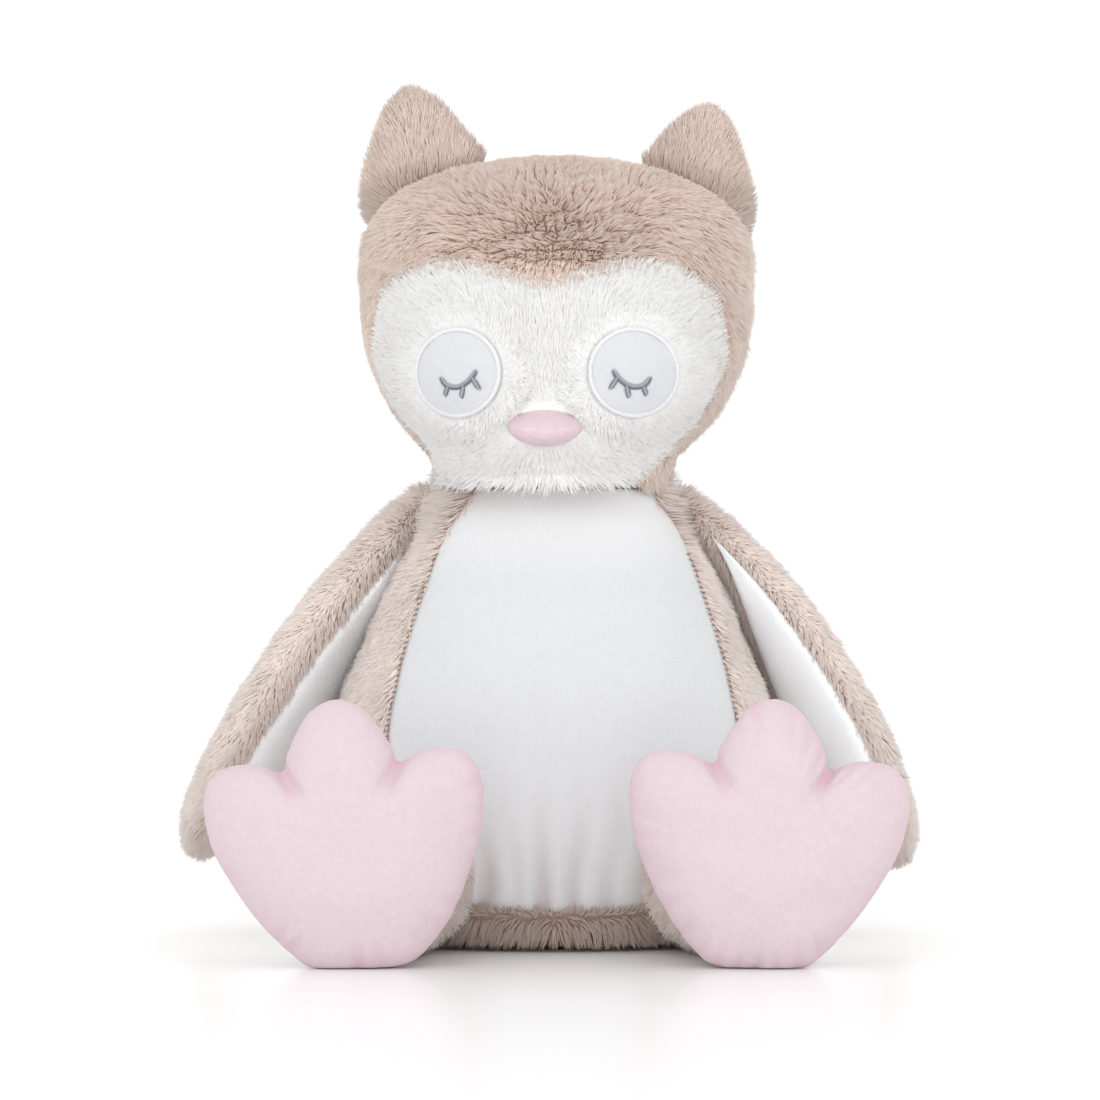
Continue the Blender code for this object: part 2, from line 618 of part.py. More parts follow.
def build_case_back(looks, module):
    joint = HARD_GAP / 2
    solid, hollow = case_shell(BACK_FACE, BACK_INNER, joint)
    case = add("module_case_back", solid, looks["case"], module)
    cut(case, guide(add("case_back_hollow", hollow, None, module)))
    boss = turned([(BOSS_RADIUS, BACK_INNER - SCREW_LENGTH * 0.3),
                   (BOSS_RADIUS, BACK_FACE - CASE_BACK_WALL / 2)], SMALL_ROUND)
    cut(case, guide(add("door_boss", moved(boss, (DOOR_SCREW_X, 0, 0)), None, module)), "UNION")
    window = slab((-BAY_HALF_LENGTH, BACK_INNER - CASE_WALL, -BAY_HALF_HEIGHT),
                  (BAY_HALF_LENGTH, BACK_FACE + CASE_WALL, BAY_HALF_HEIGHT))
    door_half = BAY_HALF_LENGTH + DOOR_MARGIN + HARD_GAP
    door_high = BAY_HALF_HEIGHT + DOOR_LIP + HARD_GAP
    seat = slab((-door_half, BACK_FACE - DOOR_THICKNESS - HARD_GAP, -door_high),
                (door_half, BACK_FACE + CASE_WALL, door_high))
    cut(case, guide(add("bay_window", window, None, module)))
    cut(case, guide(add("door_seat", seat, None, module)))
    holes = bmesh.new()
    for x, z in corner_places():
        step = BACK_FACE - SCREW_HEAD - 2 * HARD_GAP
        wide = SCREW_HEAD_RADIUS + HARD_GAP
        hole = turned([(PILOT, -CASE_WALL), (PILOT, step),
                       (wide, step), (wide, BACK_FACE + CASE_WALL)], SMALL_ROUND)
        holes = joined(holes, moved(hole, (x, 0, z)))
    pilot = turned([(PILOT, BACK_INNER - SCREW_LENGTH), (PILOT, BACK_FACE + CASE_WALL)], SMALL_ROUND)
    holes = joined(holes, moved(pilot, (DOOR_SCREW_X, 0, 0)))
    cut(case, guide(add("case_back_holes", holes, None, module)))


def screw(length):
    """A round-headed screw along Y with its head at y = 0 and its tip towards -Y."""
    return turned([(SCREW_RADIUS * 0.5, -length), (SCREW_RADIUS, -length + SCREW_RADIUS),
                   (SCREW_RADIUS, -SCREW_HEAD), (SCREW_HEAD_RADIUS, -SCREW_HEAD),
                   (SCREW_HEAD_RADIUS, -SCREW_HEAD * 0.3), (SCREW_HEAD_RADIUS * 0.75, 0.0)], SMALL_ROUND)


def build_fasteners(looks, module):
    length = BACK_FACE + CASE_FRONT_DEPTH * 0.5
    for number, (x, z) in enumerate(corner_places(), 1):
        placed = moved(screw(length), (x, BACK_FACE - HARD_GAP, z))
        add(f"case_screw_{number}", placed, looks["steel"], module)
    half = BAY_HALF_LENGTH + DOOR_MARGIN
    high = BAY_HALF_HEIGHT + DOOR_LIP
    door = add("battery_door", slab((-half, BACK_FACE - DOOR_THICKNESS, -high), (half, BACK_FACE, high)),
               looks["door"], module, smooth=False)
    pilot = turned([(PILOT, BACK_INNER), (PILOT, BACK_FACE + CASE_WALL)], SMALL_ROUND)
    cut(door, guide(add("door_hole", moved(pilot, (DOOR_SCREW_X, 0, 0)), None, module)))
    head_seat = BACK_FACE + SCREW_HEAD + HARD_GAP
    add("battery_door_screw", moved(screw(SCREW_LENGTH * 0.5), (DOOR_SCREW_X, head_seat, 0)),
        looks["steel"], module)


def build_power(looks, module):
    """Battery tray, contacts and cells."""
    half, high = BAY_HALF_LENGTH + TRAY_WALL, BAY_HALF_HEIGHT + TRAY_WALL
    tray_back = BACK_INNER - HARD_GAP
    tray = add("battery_tray", slab((-half, TRAY_FRONT, -high), (half, tray_back, high)),
               looks["case"], module, smooth=False)
    bay = slab((-BAY_HALF_LENGTH, TRAY_FRONT + TRAY_WALL, -BAY_HALF_HEIGHT),
               (BAY_HALF_LENGTH, tray_back + CASE_WALL, BAY_HALF_HEIGHT))
    cut(tray, guide(add("tray_bay", bay, None, module, smooth=False)))

    strip_high = BAY_HALF_HEIGHT - HARD_GAP
    strip_y = (TRAY_FRONT + TRAY_WALL + HARD_GAP, tray_back - HARD_GAP)
    plus = BAY_HALF_LENGTH - HARD_GAP
    strip = slab((plus - CONTACT, strip_y[0], -strip_high), (plus, strip_y[1], strip_high))
    add("contact_strip_positive", strip, looks["contact"], module, smooth=False)
    minus = -plus
    negative = add("contact_strip_negative",
                   slab((minus, strip_y[0], -strip_high), (minus + CONTACT, strip_y[1], strip_high)),
                   looks["contact"], module, smooth=False)
    bumps = bmesh.new()
    cell_start = minus + CONTACT + CONTACT_SPRING + HARD_GAP
    cell_end = cell_start + CELL_LENGTH
    along_x = Matrix.Rotation(-math.pi / 2, 4, "Z")
    for number in range(CELL_COUNT):
        z = (number - (CELL_COUNT - 1) / 2) * CELL_PITCH
        bump = turned([(CELL_RADIUS * 0.62, minus + CONTACT / 2),
                       (CELL_RADIUS * 0.3, minus + CONTACT + CONTACT_SPRING)], SMALL_ROUND)
        bmesh.ops.transform(bump, matrix=along_x, verts=bump.verts)
        bumps = joined(bumps, moved(bump, (0, CELL_MIDDLE, z)))
        cell = turned([(CELL_RADIUS * 0.93, cell_start), (CELL_RADIUS, cell_start + CELL_NUB),
                       (CELL_RADIUS, cell_end - CELL_NUB), (CELL_RADIUS * 0.9, cell_end),
                       (CELL_NUB_RADIUS, cell_end), (CELL_NUB_RADIUS, cell_end + CELL_NUB)])
        bmesh.ops.transform(cell, matrix=along_x, verts=cell.verts)
        add(f"battery_{number + 1}", moved(cell, (0, CELL_MIDDLE, z)), looks["cell"], module)
    cut(negative, guide(add("contact_bumps", bumps, None, module)), "UNION")


def build_electronics(looks, module):
    """Board, chip, key, speaker, squeeze button with its spring, and the power switch."""
    board_half = BOSS_X - BOSS_RADIUS - HARD_GAP
    board_high = CASE_HEIGHT / 2 - CASE_WALL - HARD_GAP
    add("circuit_board", slab((-board_half, BOARD_FRONT, -board_high), (board_half, 0.0, board_high)),
        looks["board"], module, smooth=False)
    face = BOARD_FRONT - HARD_GAP
    chip = turned([(CHIP_RADIUS * 0.37, face - CHIP_HEIGHT), (CHIP_RADIUS * 0.8, face - CHIP_HEIGHT * 0.56),
                   (CHIP_RADIUS, face)])
    add("voice_chip", moved(chip, (BUTTON_X, 0, -CASE_HEIGHT * 0.27)), looks["chip"], module)

    key_half = KEY_SIZE / 2
    key_body = slab((BUTTON_X - key_half, face - KEY_HEIGHT * 0.75, BUTTON_Z - key_half),
                    (BUTTON_X + key_half, face, BUTTON_Z + key_half))
    key = add("tact_key", key_body, looks["chip"], module, smooth=False)
    plunger = turned([(key_half * 0.5, face - KEY_HEIGHT),
                      (key_half * 0.5, face - KEY_HEIGHT * 0.5)], SMALL_ROUND)
    cut(key, guide(add("tact_plunger", moved(plunger, (BUTTON_X, 0, BUTTON_Z)), None, module)), "UNION")

    rim = FRONT_INNER + HARD_GAP
    frame = turned([(SPEAKER_RADIUS * 0.8, rim), (SPEAKER_RADIUS, rim + SPEAKER_RIM * 0.13),
                    (SPEAKER_RADIUS, rim + SPEAKER_RIM), (SPEAKER_RADIUS * 0.92, rim + SPEAKER_RIM * 1.5),
                    (SPEAKER_RADIUS * 0.5, rim + SPEAKER_DEPTH * 0.55),
                    (SPEAKER_RADIUS * 0.5, rim + SPEAKER_DEPTH)])
    speaker = add("speaker", moved(frame, (SPEAKER_X, 0, SPEAKER_Z)), looks["speaker"], module)
    cone = turned([(SPEAKER_RADIUS * 0.8, rim - SPEAKER_RIM), (SPEAKER_RADIUS * 0.78, rim + SPEAKER_RIM / 3),
                   (SPEAKER_RADIUS * 0.28, rim + SPEAKER_DEPTH * 0.32),
                   (SPEAKER_RADIUS * 0.1, rim + SPEAKER_DEPTH * 0.2)])
    cut(speaker, guide(add("speaker_cone", moved(cone, (SPEAKER_X, 0, SPEAKER_Z)), None, module)))

    flange = FRONT_INNER + HARD_GAP
    stem_end = face - KEY_HEIGHT - BUTTON_TRAVEL - HARD_GAP
    flange_back = flange + CASE_WALL * 0.75
    button_pivot = pivot("button_pivot", (BUTTON_X, 0.0, BUTTON_Z))
    button_pivot.parent = module
    cap = turned([(BUTTON_RADIUS * 0.7, FRONT_FACE - BUTTON_PROUD),
                  (BUTTON_RADIUS, FRONT_FACE - BUTTON_PROUD * 0.6),
                  (BUTTON_RADIUS, flange), (BUTTON_RADIUS + BUTTON_FLANGE, flange),
                  (BUTTON_RADIUS + BUTTON_FLANGE, flange_back),
                  (BUTTON_STEM, flange_back), (BUTTON_STEM, stem_end)])
    add("press_button", cap, looks["button"], button_pivot)
    build_spring(looks, module, flange_back + SPRING_WIRE + HARD_GAP, face - SPRING_WIRE - HARD_GAP)

    bottom = -CASE_HEIGHT / 2 + CASE_WALL
    body_low = bottom + HARD_GAP + KNOB_FLANGE + HARD_GAP
    half_x = KNOB_LENGTH / 2 + KNOB_TRAVEL / 2 + KNOB_FLANGE
    centre = KNOB_TRAVEL / 2
    half_y = -KNOB_Y + BOARD_FRONT - HARD_GAP
    add("power_switch_body", slab((centre - half_x, KNOB_Y - KNOB_WIDTH, body_low),
                                  (centre + half_x, KNOB_Y + half_y, body_low + SWITCH_HEIGHT)),
        looks["chip"], module, smooth=False)
    flange_low = bottom + HARD_GAP
    thumb = slab((-KNOB_LENGTH / 2, KNOB_Y - KNOB_WIDTH / 2, -CASE_HEIGHT / 2 - KNOB_PROUD),
                 (KNOB_LENGTH / 2, KNOB_Y + KNOB_WIDTH / 2, flange_low + KNOB_FLANGE / 2))
    knob = add("power_switch_knob", thumb, looks["button"], module, smooth=False)
    flange_plate = slab((-KNOB_LENGTH / 2 - KNOB_FLANGE, KNOB_Y - KNOB_WIDTH, flange_low),
                        (KNOB_LENGTH / 2 + KNOB_FLANGE, KNOB_Y + KNOB_WIDTH, flange_low + KNOB_FLANGE))
    cut(knob, guide(add("knob_flange", flange_plate, None, module, smooth=False)), "UNION")


def build_spring(looks, module, start, end):
    """Return spring round the button stem: one wire, wound as a helix along Y."""
    per_turn = 10
    curve = bpy.data.curves.new("button_spring", "CURVE")
    curve.dimensions = "3D"
    curve.bevel_depth = SPRING_WIRE
    curve.bevel_resolution = 1
    curve.use_fill_caps = True
    spline = curve.splines.new("POLY")
    count = SPRING_TURNS * per_turn
    spline.points.add(count)
    for i in range(count + 1):
        angle = 2 * math.pi * i / per_turn
        along = start + (end - start) * i / count
        spline.points[i].co = (BUTTON_X + SPRING_RADIUS * math.cos(angle), along,
                               BUTTON_Z + SPRING_RADIUS * math.sin(angle), 1.0)
    print(f"button spring: gap between turns {(end - start) / SPRING_TURNS - 2 * SPRING_WIRE:.5f} m")
    spring = bpy.data.objects.new("button_spring", curve)
    bpy.context.scene.collection.objects.link(spring)
    spring.parent = module
    curve.materials.append(looks["steel"])


def build_filling(looks, root):
    """Stuffing of the body, with a pocket for the module and a channel over the zip."""
    inset = -(COVER_WALL + SEAM_GAP)
    rings = body_rings(inset, BODY_LEVELS[1:], FILL_AROUND)
    filling = add("body_filling", loft(rings), looks["stuffing"], root)
    channel_half = ZIP_SLOT_LENGTH / 2 + ZIP_OVERLAP + SEAM_GAP
    channel_wide = ZIP_SLOT_WIDTH / 2 + ZIP_OVERLAP + SEAM_GAP
    channel = slab((-channel_half, ZIP_BACK - channel_wide, 0.0),
                   (channel_half, ZIP_BACK + channel_wide, SLIDER_HIGH + SEAM_GAP))
    cut(filling, guide(add("zip_channel", channel, None, root, smooth=False)))
    outline = rounded_rectangle(CASE_WIDTH / 2 + SEAM_GAP, CASE_HEIGHT / 2 + SEAM_GAP, CASE_CORNER)
    depth = (FRONT_FACE - SEAM_GAP, BACK_FACE + SCREW_HEAD + 2 * SEAM_GAP)
    mouth_half = CASE_WIDTH / 2 - CASE_CORNER
    mouth = slab((-mouth_half, depth[0], -CASE_HEIGHT), (mouth_half, depth[1], 0.0))
    radius = BUTTON_RADIUS + SEAM_GAP
    well = turned([(radius, FRONT_FACE - BUTTON_PROUD - SEAM_GAP), (radius, 0.0)])
    module = (0.0, ZIP_BACK, MODULE_MIDDLE)
    well_place = (BUTTON_X, ZIP_BACK, MODULE_MIDDLE + BUTTON_Z)
    cut(filling, guide(add("module_pocket", moved(prism(outline, *depth), module), None, root)))
    cut(filling, guide(add("pocket_mouth", moved(mouth, module), None, root)))
    cut(filling, guide(add("button_well", moved(well, well_place), None, root)))


# Head pieces, in the frame of the neck pivot

def build_head(looks, head):
    inner = head_rings(-COVER_WALL)
    cover = add("head_cover", shell(head_rings(), inner), looks["fur"], head)
    reach = 2 * HEAD_FRONT
    behind = -HEAD_FRONT * 0.1
    cut(cover, guide(add("face_cutter", prism(face_outline(), -reach, behind), None, head)))

    panel = add("face_panel", shell(head_rings(-FACE_SINK), inner), looks["white_fur"], head)
    shape = prism(face_outline(SEAM_GAP), -reach, behind)
    cut(panel, guide(add("face_shape", shape, None, head)), "INTERSECT")
    hole_radius = BEAK_STEM_RADIUS + SEAM_GAP
    stem_hole = turned([(hole_radius, -reach), (hole_radius, 0.0)], SMALL_ROUND)
    hole = guide(add("beak_stem_hole", moved(stem_hole, (0, 0, BEAK_HEIGHT)), None, head))
    cut(panel, hole)

    inset = -(COVER_WALL + SEAM_GAP)
    rings = [head_ring(level, inset, FILL_AROUND) for level in HEAD_LEVELS[1:]]
    filling = add("head_filling", loft(rings), looks["stuffing"], head)
    radius = WASHER_RADIUS + SEAM_GAP
    stem_end = washer_face() + WASHER_THICKNESS + BEAK_STEM_PROUD
    well = turned([(radius, -HEAD_FRONT), (radius, stem_end + SEAM_GAP)])
    cut(filling, guide(add("washer_well", moved(well, (0, 0, BEAK_HEIGHT)), None, head)))


def face_layer(name, low, high, shape, look, head):
    """A thin piece that follows the face, between two heights above it, cut to a shape."""
    layer = add(name, shell(head_rings(high), head_rings(low)), look, head)
    cut(layer, guide(add(f"{name}_shape", shape, None, head)), "INTERSECT")


def lash_strokes(outer):
    """Lid line and three lashes of one closed eye as flat outlines; outer is the side away from the beak."""
    arc = []
    steps = 8
    for i in range(steps + 1):
        x = (i / steps * 2 - 1) * LASH_SPAN / 2
        arc.append((x, LASH_DIP * ((2 * x / LASH_SPAN) ** 2 - 0.6)))
    half = LASH_STROKE / 2
    strokes = [[(x, z + half) for x, z in arc] + [(x, z - half) for x, z in reversed(arc)]]
    for along, lean in ((-0.58, -26), (0.12, 14), (0.62, 42)):
        x = along * LASH_SPAN / 2 * outer
        z = LASH_DIP * (along**2 - 0.6)
        angle = math.radians(lean * outer)
        down = Vector((math.sin(angle), -math.cos(angle)))
        side = Vector((down.y, -down.x)) * half * 0.7
        tip = Vector((x, z)) + down * LASH_LENGTH
        root = Vector((x, z))
        strokes.append([tuple(p) for p in (root + side, tip + side * 0.6, tip - side * 0.6, root - side)])
    return strokes


def build_eyes(looks, head):
    reach = 2 * HEAD_FRONT
    felt_low = SEAM_GAP - FACE_SINK
    felt_high = felt_low + EYE_FELT
    for side, sign in SIDES.items():
        disc = turned([(EYE_RADIUS, -reach), (EYE_RADIUS, 0.0)], AROUND)
        face_layer(f"eye_{side}", felt_low, felt_high, moved(disc, (sign * EYE_SPREAD, 0, EYE_HEIGHT)),
                   looks["eye_felt"], head)
        name = f"lashes_{side}"
        low = felt_high + HARD_GAP
        threads = shell(head_rings(low + LASH_THREAD), head_rings(low))
        lashes = add(name, threads, looks["lash"], head)
        place = (sign * EYE_SPREAD, 0, EYE_HEIGHT - LASH_DROP)
        lid, *hairs = lash_strokes(sign)
        shape = guide(add(f"{name}_lid", moved(prism(lid, -reach, 0.0), place), None, head))
        for number, hair in enumerate(hairs):
            stroke = moved(prism(hair, -reach - HARD_GAP * number, HARD_GAP * number), place)
            cut(shape, guide(add(f"{name}_hair_{number}", stroke, None, head)), "UNION")
        cut(lashes, shape, "INTERSECT")


def build_beak(looks, head):
    """Almond-shaped moulded beak with a stem through the face and a lock washer behind it."""
    face = head_front_at(0.0, BEAK_HEIGHT) + FACE_SINK
    seat = head_front_at(BEAK_HALF_WIDTH, BEAK_HEIGHT)
    count = 28
    rings = []
    for share, depth in ((1.0, 0.0), (0.985, 0.22), (0.90, 0.55), (0.70, 0.82), (0.38, 0.97), (0.12, 1.0)):
        ring = []
        for i in range(count):
            angle = 2 * math.pi * i / count
            c, s = math.cos(angle), math.sin(angle)
            x = BEAK_HALF_WIDTH * share * c
            z = BEAK_HALF_HEIGHT * share * math.copysign(abs(s) ** 1.35, s)
            ring.append(Vector((x, seat - depth * (BEAK_DEPTH + seat - face), BEAK_HEIGHT + z)))
        rings.append(ring)
    beak = add("beak", loft(rings), looks["beak"], head)
    cut(beak, guide(add("beak_seat", loft(head_rings(SEAM_GAP)), None, head)))
    front = washer_face()
    back = front + WASHER_THICKNESS
    stem = turned([(BEAK_STEM_RADIUS, face - BEAK_DEPTH * 0.5),
                   (BEAK_STEM_RADIUS, back + BEAK_STEM_PROUD)], SMALL_ROUND)
    cut(beak, guide(add("beak_stem", moved(stem, (0, 0, BEAK_HEIGHT)), None, head)), "UNION")
    disc = turned([(WASHER_RADIUS, front), (WASHER_RADIUS, back)])
    washer = add("beak_washer", moved(disc, (0, 0, BEAK_HEIGHT)), looks["case"], head)
    radius = BEAK_STEM_RADIUS + HARD_GAP
    bore = turned([(radius, front - WASHER_THICKNESS), (radius, back + WASHER_THICKNESS)], SMALL_ROUND)
    cut(washer, guide(add("washer_bore", moved(bore, (0, 0, BEAK_HEIGHT)), None, head)))


# Share of an ear's half width and half thickness along its length
EAR_SWELL = [
    (0.0, 1.0, 1.0), (0.3, 0.95, 0.98), (0.55, 0.78, 0.84),
    (0.78, 0.53, 0.64), (0.92, 0.33, 0.44), (1.0, 0.13, 0.2),
]
EAR_LEVELS = (0.0, 0.25, 0.45, 0.62, 0.77, 0.88, 0.95, 1.0)


def build_ears(looks, head):
    seat = guide(add("ear_seat", loft(head_rings(SEAM_GAP)), None, head))
    for side, sign in SIDES.items():
        rings = []
        for level in EAR_LEVELS:
            wide, thick = eased(EAR_SWELL, level)
            half_thick = EAR_HALF_THICK * thick
            half_wide = EAR_HALF_WIDTH * wide
            rings.append(oval_ring(half_wide, half_thick, half_thick, level * EAR_LENGTH, 2.2, LIMB_AROUND))
        place = pivot(f"ear_{side}_root", (sign * EAR_SPREAD, 0.0, EAR_ROOT[side]))
        place.parent = head
        place.rotation_euler = (0.0, math.radians(sign * EAR_LEAN[side]), 0.0)
        cut(add(f"ear_{side}", loft(rings), looks["fur"], place), seat)


# Wings: share of half chord and half thickness along the length
WING_SWELL = [
    (0.0, 0.30, 0.55), (0.12, 0.62, 0.84), (0.30, 0.90, 1.0), (0.52, 1.0, 1.0), (0.72, 0.91, 0.92),
    (0.87, 0.68, 0.76), (0.95, 0.44, 0.56), (1.0, 0.14, 0.26),
]
WING_LEVELS = (0.0, 0.05, 0.12, 0.22, 0.35, 0.50, 0.64, 0.76, 0.86, 0.93, 0.98, 1.0)
LINING_LEVELS = (0.28, 0.38, 0.50, 0.64, 0.76, 0.86, 0.93)
LINING_HALF_ANGLE = 62.0                # degrees of the section that the lining covers, each way


def wing_point(level, angle, grow=0.0):
    """A point of a wing that hangs along -Z, its inner face towards -X, its front edge towards -Y."""
    chord, thick = eased(WING_SWELL, level)
    bow = WING_BOW * 4 * level * (1 - level)
    x = (WING_HALF_THICK * thick + grow) * math.cos(angle) + bow
    y = (WING_HALF_CHORD * chord + grow) * math.sin(angle)
    return Vector((x, y, -level * WING_LENGTH))


def lining_patch(low, high, margin=0.0):
    """A thin leaf on the inner face, from low under it to high above it, wider by a margin all round."""
    steps = 8
    span = math.radians(LINING_HALF_ANGLE)
    angles = [math.pi + span * (2 * i / steps - 1) for i in range(steps + 1)]
    first, *middle, last = LINING_LEVELS
    if margin:
        turn = 3 * margin / WING_HALF_CHORD
        angles = [angles[0] - turn] + angles + [angles[-1] + turn]
    rings = []
    for level in (first - margin / WING_LENGTH, *middle, last + margin / WING_LENGTH):
        inner = [wing_point(level, a, -low) for a in angles]
        outer = [wing_point(level, a, high) for a in reversed(angles)]
        rings.append(inner + outer)
    return loft(rings)


def wing_matrix(side, sign):
    """Hang, twist and mirror of a wing about its shoulder."""
    mirror = Matrix.Diagonal((sign, 1, 1, 1))
    hang = Matrix.Rotation(math.radians(-WING_HANG[side]), 4, "Y")
    twist = Matrix.Rotation(math.radians(WING_TWIST[side]), 4, "Z")
    out = Matrix.Translation((WING_HALF_THICK * 0.35, 0, 0))
    return mirror @ hang @ twist @ out


def build_wings(looks):
    shoulder_z = BODY_HEIGHT - WING_ROOT_DROP
    shoulder_x = body_side_at(shoulder_z)
    for side, sign in SIDES.items():
        shoulder = pivot(f"wing_{side}_pivot", (sign * shoulder_x, WING_ROOT_BACK, shoulder_z))
        body = guide(add(f"wing_{side}_body_cutter", loft(body_rings(SEAM_GAP)), None))
        place = wing_matrix(side, sign)
        rings = []
        for level in WING_LEVELS:
            angles = [2 * math.pi * i / LIMB_AROUND for i in range(LIMB_AROUND)]
            rings.append([wing_point(level, a) for a in angles])
        shapes = {
            f"wing_{side}": (loft(rings), looks["fur"]),
            f"wing_lining_{side}": (lining_patch(LINING_THICKNESS, 0.0), looks["smooth_white"]),
            f"lining_{side}_cutter": (
                lining_patch(LINING_THICKNESS + SEAM_GAP, LINING_THICKNESS, SEAM_GAP), None),
        }
        made = {}
        for name, (bm, look) in shapes.items():
            bmesh.ops.transform(bm, matrix=place, verts=bm.verts)
            bmesh.ops.recalc_face_normals(bm, faces=bm.faces)
            made[name] = add(name, bm, look, shoulder)
        cut(made[f"wing_{side}"], guide(made[f"lining_{side}_cutter"]))
        cut(made[f"wing_{side}"], body)
        cut(made[f"wing_lining_{side}"], body)


# Legs and feet

LEG_LEVELS = (0.0, 0.2, 0.4, 0.7, 1.0)
LEG_TOP = 2 * LEG_RADIUS
HIP_HEIGHT = LEG_TOP + HIP_SEAM
FOOT_BACK = FOOT_REACH - FOOT_HALF_THICK


def foot_outline():
    """Three round toes over a heel, in (x, z), as half points mirrored about the middle toe."""
    w, h = FOOT_HALF_WIDTH, FOOT_HEIGHT
    right = [
        (0.24 * w, 0.955 * h), (0.37 * w, 0.845 * h), (0.43 * w, 0.765 * h), (0.66 * w, 0.785 * h),
        (0.90 * w, 0.755 * h), (1.00 * w, 0.645 * h), (0.95 * w, 0.455 * h), (0.79 * w, 0.225 * h),
        (0.52 * w, 0.03 * h),
    ]
    return [(0.0, h)] + right + [(0.0, -0.02 * h)] + [(-x, z) for x, z in reversed(right)]


def foot_rings(grow=0.0):
    """A pillow on the foot's outline: rings from the middle of its front to the middle of its back."""
    outline = closed_curve(foot_outline(), 2)
    middle = FOOT_HEIGHT * 0.46
    shares = (0.25, 0.58, 0.82, 0.95, 1.0, 0.95, 0.82, 0.58, 0.25)
    rings = []
    for number, share in enumerate(shares):
        sign = -1 if number <= len(shares) // 2 else 1
        y = sign * (FOOT_HALF_THICK * (1 - share**2.6) ** 0.5 + (grow if share < 1 else 0))
        scale = share + grow / FOOT_HALF_WIDTH
        rings.append([Vector((x * scale, y, max(middle + (z - middle) * scale, 0.0))) for x, z in outline])
    return rings


def foot_bmesh(side, sign, grow=0.0):
    """The foot in place, rolled outwards about its heel and kept above the floor."""
    bm = loft(foot_rings(grow))
    roll = Matrix.Rotation(math.radians(sign * FOOT_ROLL[side]), 4, "Y")
    placed = Matrix.Translation((sign * FOOT_SPREAD[side], -FOOT_REACH, 0)) @ roll
    bmesh.ops.transform(bm, matrix=placed, verts=bm.verts)
    for vert in bm.verts:
        vert.co.z = max(vert.co.z, 0.0)
    bmesh.ops.remove_doubles(bm, verts=bm.verts, dist=0.00005)
    bmesh.ops.recalc_face_normals(bm, faces=bm.faces)
    return bm


def build_limbs(looks):
    for side, sign in SIDES.items():
        hip_x = sign * (FOOT_SPREAD[side] - LEG_SPLAY)
        hip = Vector((hip_x, body_front_at(hip_x, HIP_HEIGHT), HIP_HEIGHT))
        ankle = Vector((sign * FOOT_SPREAD[side], -FOOT_BACK, HIP_HEIGHT))
        hip_pivot = pivot(f"leg_{side}_pivot", hip)
        ankle_pivot = pivot(f"foot_{side}_pivot", ankle)
        body = guide(add(f"leg_{side}_body_cutter", loft(body_rings(SEAM_GAP)), None))
        foot_cutter = guide(add(f"leg_{side}_foot_cutter", foot_bmesh(side, sign, SEAM_GAP), None))

        rings = []
        start, end = -BODY_FRONT * 0.40, -FOOT_REACH
        for share in LEG_LEVELS:
            x = hip_x + sign * LEG_SPLAY * share
            radius = LEG_ROOT_RADIUS + (LEG_RADIUS - LEG_ROOT_RADIUS) * math.sin(math.pi * min(share, 0.5))
            ring = []
            for k in range(LIMB_AROUND):
                angle = 2 * math.pi * k / LIMB_AROUND
                z = LEG_TOP - radius + radius * math.sin(angle)
                ring.append(Vector((x + radius * math.cos(angle), start + (end - start) * share, z)) - hip)
            rings.append(ring)
        leg = add(f"leg_{side}", loft(rings), looks["fur"], hip_pivot)
        cut(cut(leg, body), foot_cutter)

        foot = foot_bmesh(side, sign)
        bmesh.ops.translate(foot, verts=foot.verts, vec=-ankle)
        add(f"foot_{side}", foot, looks["foot"], ankle_pivot)


def make_looks():
    return {
        "fur": material("beige_fur", (0.60, 0.46, 0.37), 0.95),
        "seat_fur": material("seat_fur", (0.50, 0.37, 0.30), 0.95),
        "white_fur": material("white_fur", (0.90, 0.89, 0.86), 0.95),
        "smooth_white": material("smooth_white", (0.88, 0.89, 0.90), 0.85),
        "eye_felt": material("eye_felt", (0.85, 0.86, 0.90), 0.9),
        "lash": material("lash_thread", (0.13, 0.14, 0.16), 0.5),
        "beak": material("pink_plastic", (0.86, 0.60, 0.64), 0.35),
        "foot": material("pink_velour", (0.88, 0.68, 0.73), 0.9),
        "stuffing": material("stuffing", (0.93, 0.93, 0.92), 0.95),
        "zip_tape": material("zip_tape", (0.62, 0.50, 0.42), 0.85),
        "zip_metal": material("zip_metal", (0.70, 0.69, 0.67), 0.35, 1.0),
        "case": material("case_plastic", (0.88, 0.88, 0.86), 0.45),
        "door": material("door_plastic", (0.80, 0.80, 0.79), 0.45),
        "steel": material("steel", (0.66, 0.66, 0.68), 0.3, 1.0),
        "contact": material("contact_plate", (0.75, 0.73, 0.66), 0.3, 1.0),
        "cell": material("cell_jacket", (0.10, 0.28, 0.22), 0.4),
        "board": material("board_green", (0.05, 0.27, 0.14), 0.5),
        "chip": material("black_resin", (0.03, 0.03, 0.035), 0.45),
        "speaker": material("speaker_grey", (0.18, 0.18, 0.19), 0.5),
        "button": material("button_pink", (0.85, 0.45, 0.52), 0.4),
    }


def main():
    clear_scene()
    looks = make_looks()
    root = pivot("body_frame", (0.0, 0.0, 0.0))
    build_body(looks, root)
    build_seat(looks, root)
    build_zip(looks, root)
    build_filling(looks, root)
    module = pivot("module_frame", (0.0, ZIP_BACK, MODULE_MIDDLE))
    build_case_front(looks, module)
    build_case_back(looks, module)
    build_fasteners(looks, module)
    build_power(looks, module)
    build_electronics(looks, module)
    head = pivot("head_pivot", (0.0, 0.0, BODY_HEIGHT), (0.0, 0.0, math.radians(HEAD_TURN)))
    build_head(looks, head)
    build_eyes(looks, head)
    build_beak(looks, head)
    build_ears(looks, head)
    build_wings(looks)
    build_limbs(looks)


main()
